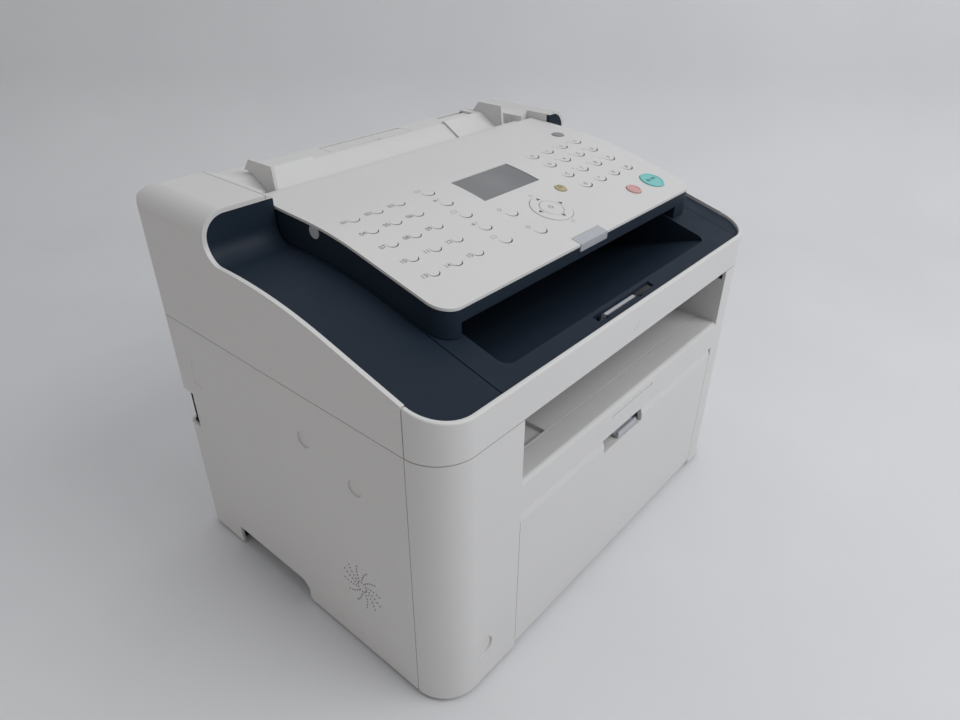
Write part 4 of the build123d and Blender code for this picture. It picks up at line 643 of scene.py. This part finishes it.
def small_mouldings():
    """Plug in the panel's left skirt and raised dots on the front band."""
    skirt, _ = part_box("panel_base")
    plug = facing(Vector((skirt.x - 0.1 * MM, PLUG_Y * MM, PLUG_Z * MM)), LEFTWARD)
    boss("skirt_plug", plug, 4.6, 0.8, "panel", "light_grey_plastic")
    band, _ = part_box("front_band")
    for row in range(2):
        for column in range(3 - row):
            x = DOTS_X + DOT_PITCH_X * (column + row / 2)
            z = DOTS_Z + DOT_PITCH_Z * row
            dot = facing(Vector((x * MM, band.y, z * MM)), FORWARD)
            boss(f"band_dot_{row}_{column}", dot, 0.75, 0.5, "chassis", "white_plastic")


HOLE_RINGS = 6
HOLE_SPOKES = 12
FIRST_RING = 4.2
RING_PITCH = 2.7
RING_TWIST = 4
SHADE_RADIUS = 0.74
SHADE_DEPTH = 0.25


def grille_shadows():
    """Dark discs just inside the speaker holes."""
    side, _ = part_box("left_cover")
    x = side.x + SHADE_DEPTH * MM
    holes = []
    for ring in range(HOLE_RINGS):
        reach = FIRST_RING + RING_PITCH * ring
        for spoke in range(HOLE_SPOKES):
            angle = math.radians(RING_TWIST * ring + 360 / HOLE_SPOKES * spoke)
            y = GRILLE_Y + reach * math.cos(angle)
            z = GRILLE_Z + reach * math.sin(angle)
            holes.append((disc_form(SHADE_RADIUS), facing(Vector((x, y * MM, z * MM)), LEFTWARD)))
    marks_piece("grille_shadows", holes, grille_shade, "chassis")


# ---------------------------------------------------------------- stage
STAGE_DISTANCE = 0.80
STAGE_HALF = 4.0
COVE = 0.22
WALL_TOP = 2.2
LIGHT_TARGET = (0.0, 0.0, 0.15)


def make_stage():
    """Pale floor that curves up into a wall behind the machine."""
    ahead = Vector((CAMERA_FORWARD.x, CAMERA_FORWARD.y, 0)).normalized()
    side = Vector((ahead.y, -ahead.x, 0))
    profile = [(-STAGE_HALF, 0.0), (STAGE_DISTANCE - COVE, 0.0)]
    steps = 16
    for step in range(1, steps + 1):
        angle = math.radians(90 * step / steps)
        reach = STAGE_DISTANCE - COVE + COVE * math.sin(angle)
        profile.append((reach, COVE * (1 - math.cos(angle))))
    profile.append((STAGE_DISTANCE, WALL_TOP))
    points = []
    for reach, height in profile:
        for way in (-STAGE_HALF, STAGE_HALF):
            point = ahead * reach + side * way
            points.append((point.x, point.y, height))
    faces = [(2 * i, 2 * i + 1, 2 * i + 3, 2 * i + 2) for i in range(len(profile) - 1)]
    mesh = bpy.data.meshes.new("floor")
    mesh.from_pydata(points, [], faces)
    mesh.shade_smooth()
    floor = linked("floor", mesh)
    material, tree, shader = new_material("floor_cloth", (0.72, 0.725, 0.735), 0.9)
    cloud = spread(tree, noise(tree, 5.0, 5.0, 0.55), 0.0, 1.0)
    tint(tree, shader, cloud, (0.705, 0.71, 0.72), (0.735, 0.74, 0.75))
    set_material(floor, material)


def area_light(name, place, size, power, color=(1, 1, 1)):
    """Square soft light aimed at the middle of the machine."""
    data = bpy.data.lights.new(name, "AREA")
    data.shape = "SQUARE"
    data.size = size
    data.energy = power
    data.color = color
    lamp = linked(name, data)
    lamp.location = place
    aim = Vector(LIGHT_TARGET) - Vector(place)
    lamp.rotation_euler = aim.to_track_quat("-Z", "Y").to_euler()


def make_lights():
    """Broad light from the front right, weaker ceiling light, warm light at the left and a pale room."""
    area_light("ceiling_light", (0.1, 0.2, 1.8), 1.5, 4.8)
    area_light("front_right_light", (0.5, -1.3, 1.35), 1.3, 16.0, (0.985, 0.99, 1.0))
    area_light("left_bounce", (-1.5, 0.1, 0.4), 1.2, 0.8, (1.0, 0.60, 0.14))
    world = bpy.data.worlds.new("room")
    world.use_nodes = True
    background = world.node_tree.nodes["Background"]
    background.inputs["Color"].default_value = (0.93, 0.95, 1.0, 1)
    background.inputs["Strength"].default_value = 0.375
    bpy.context.scene.world = world
    bpy.context.scene.view_settings.view_transform = "Standard"


make_camera()
make_stage()
make_lights()
print_panel()
print_keys()
small_mouldings()
grille_shadows()
finish_nodes()

bpy.context.view_layer.update()
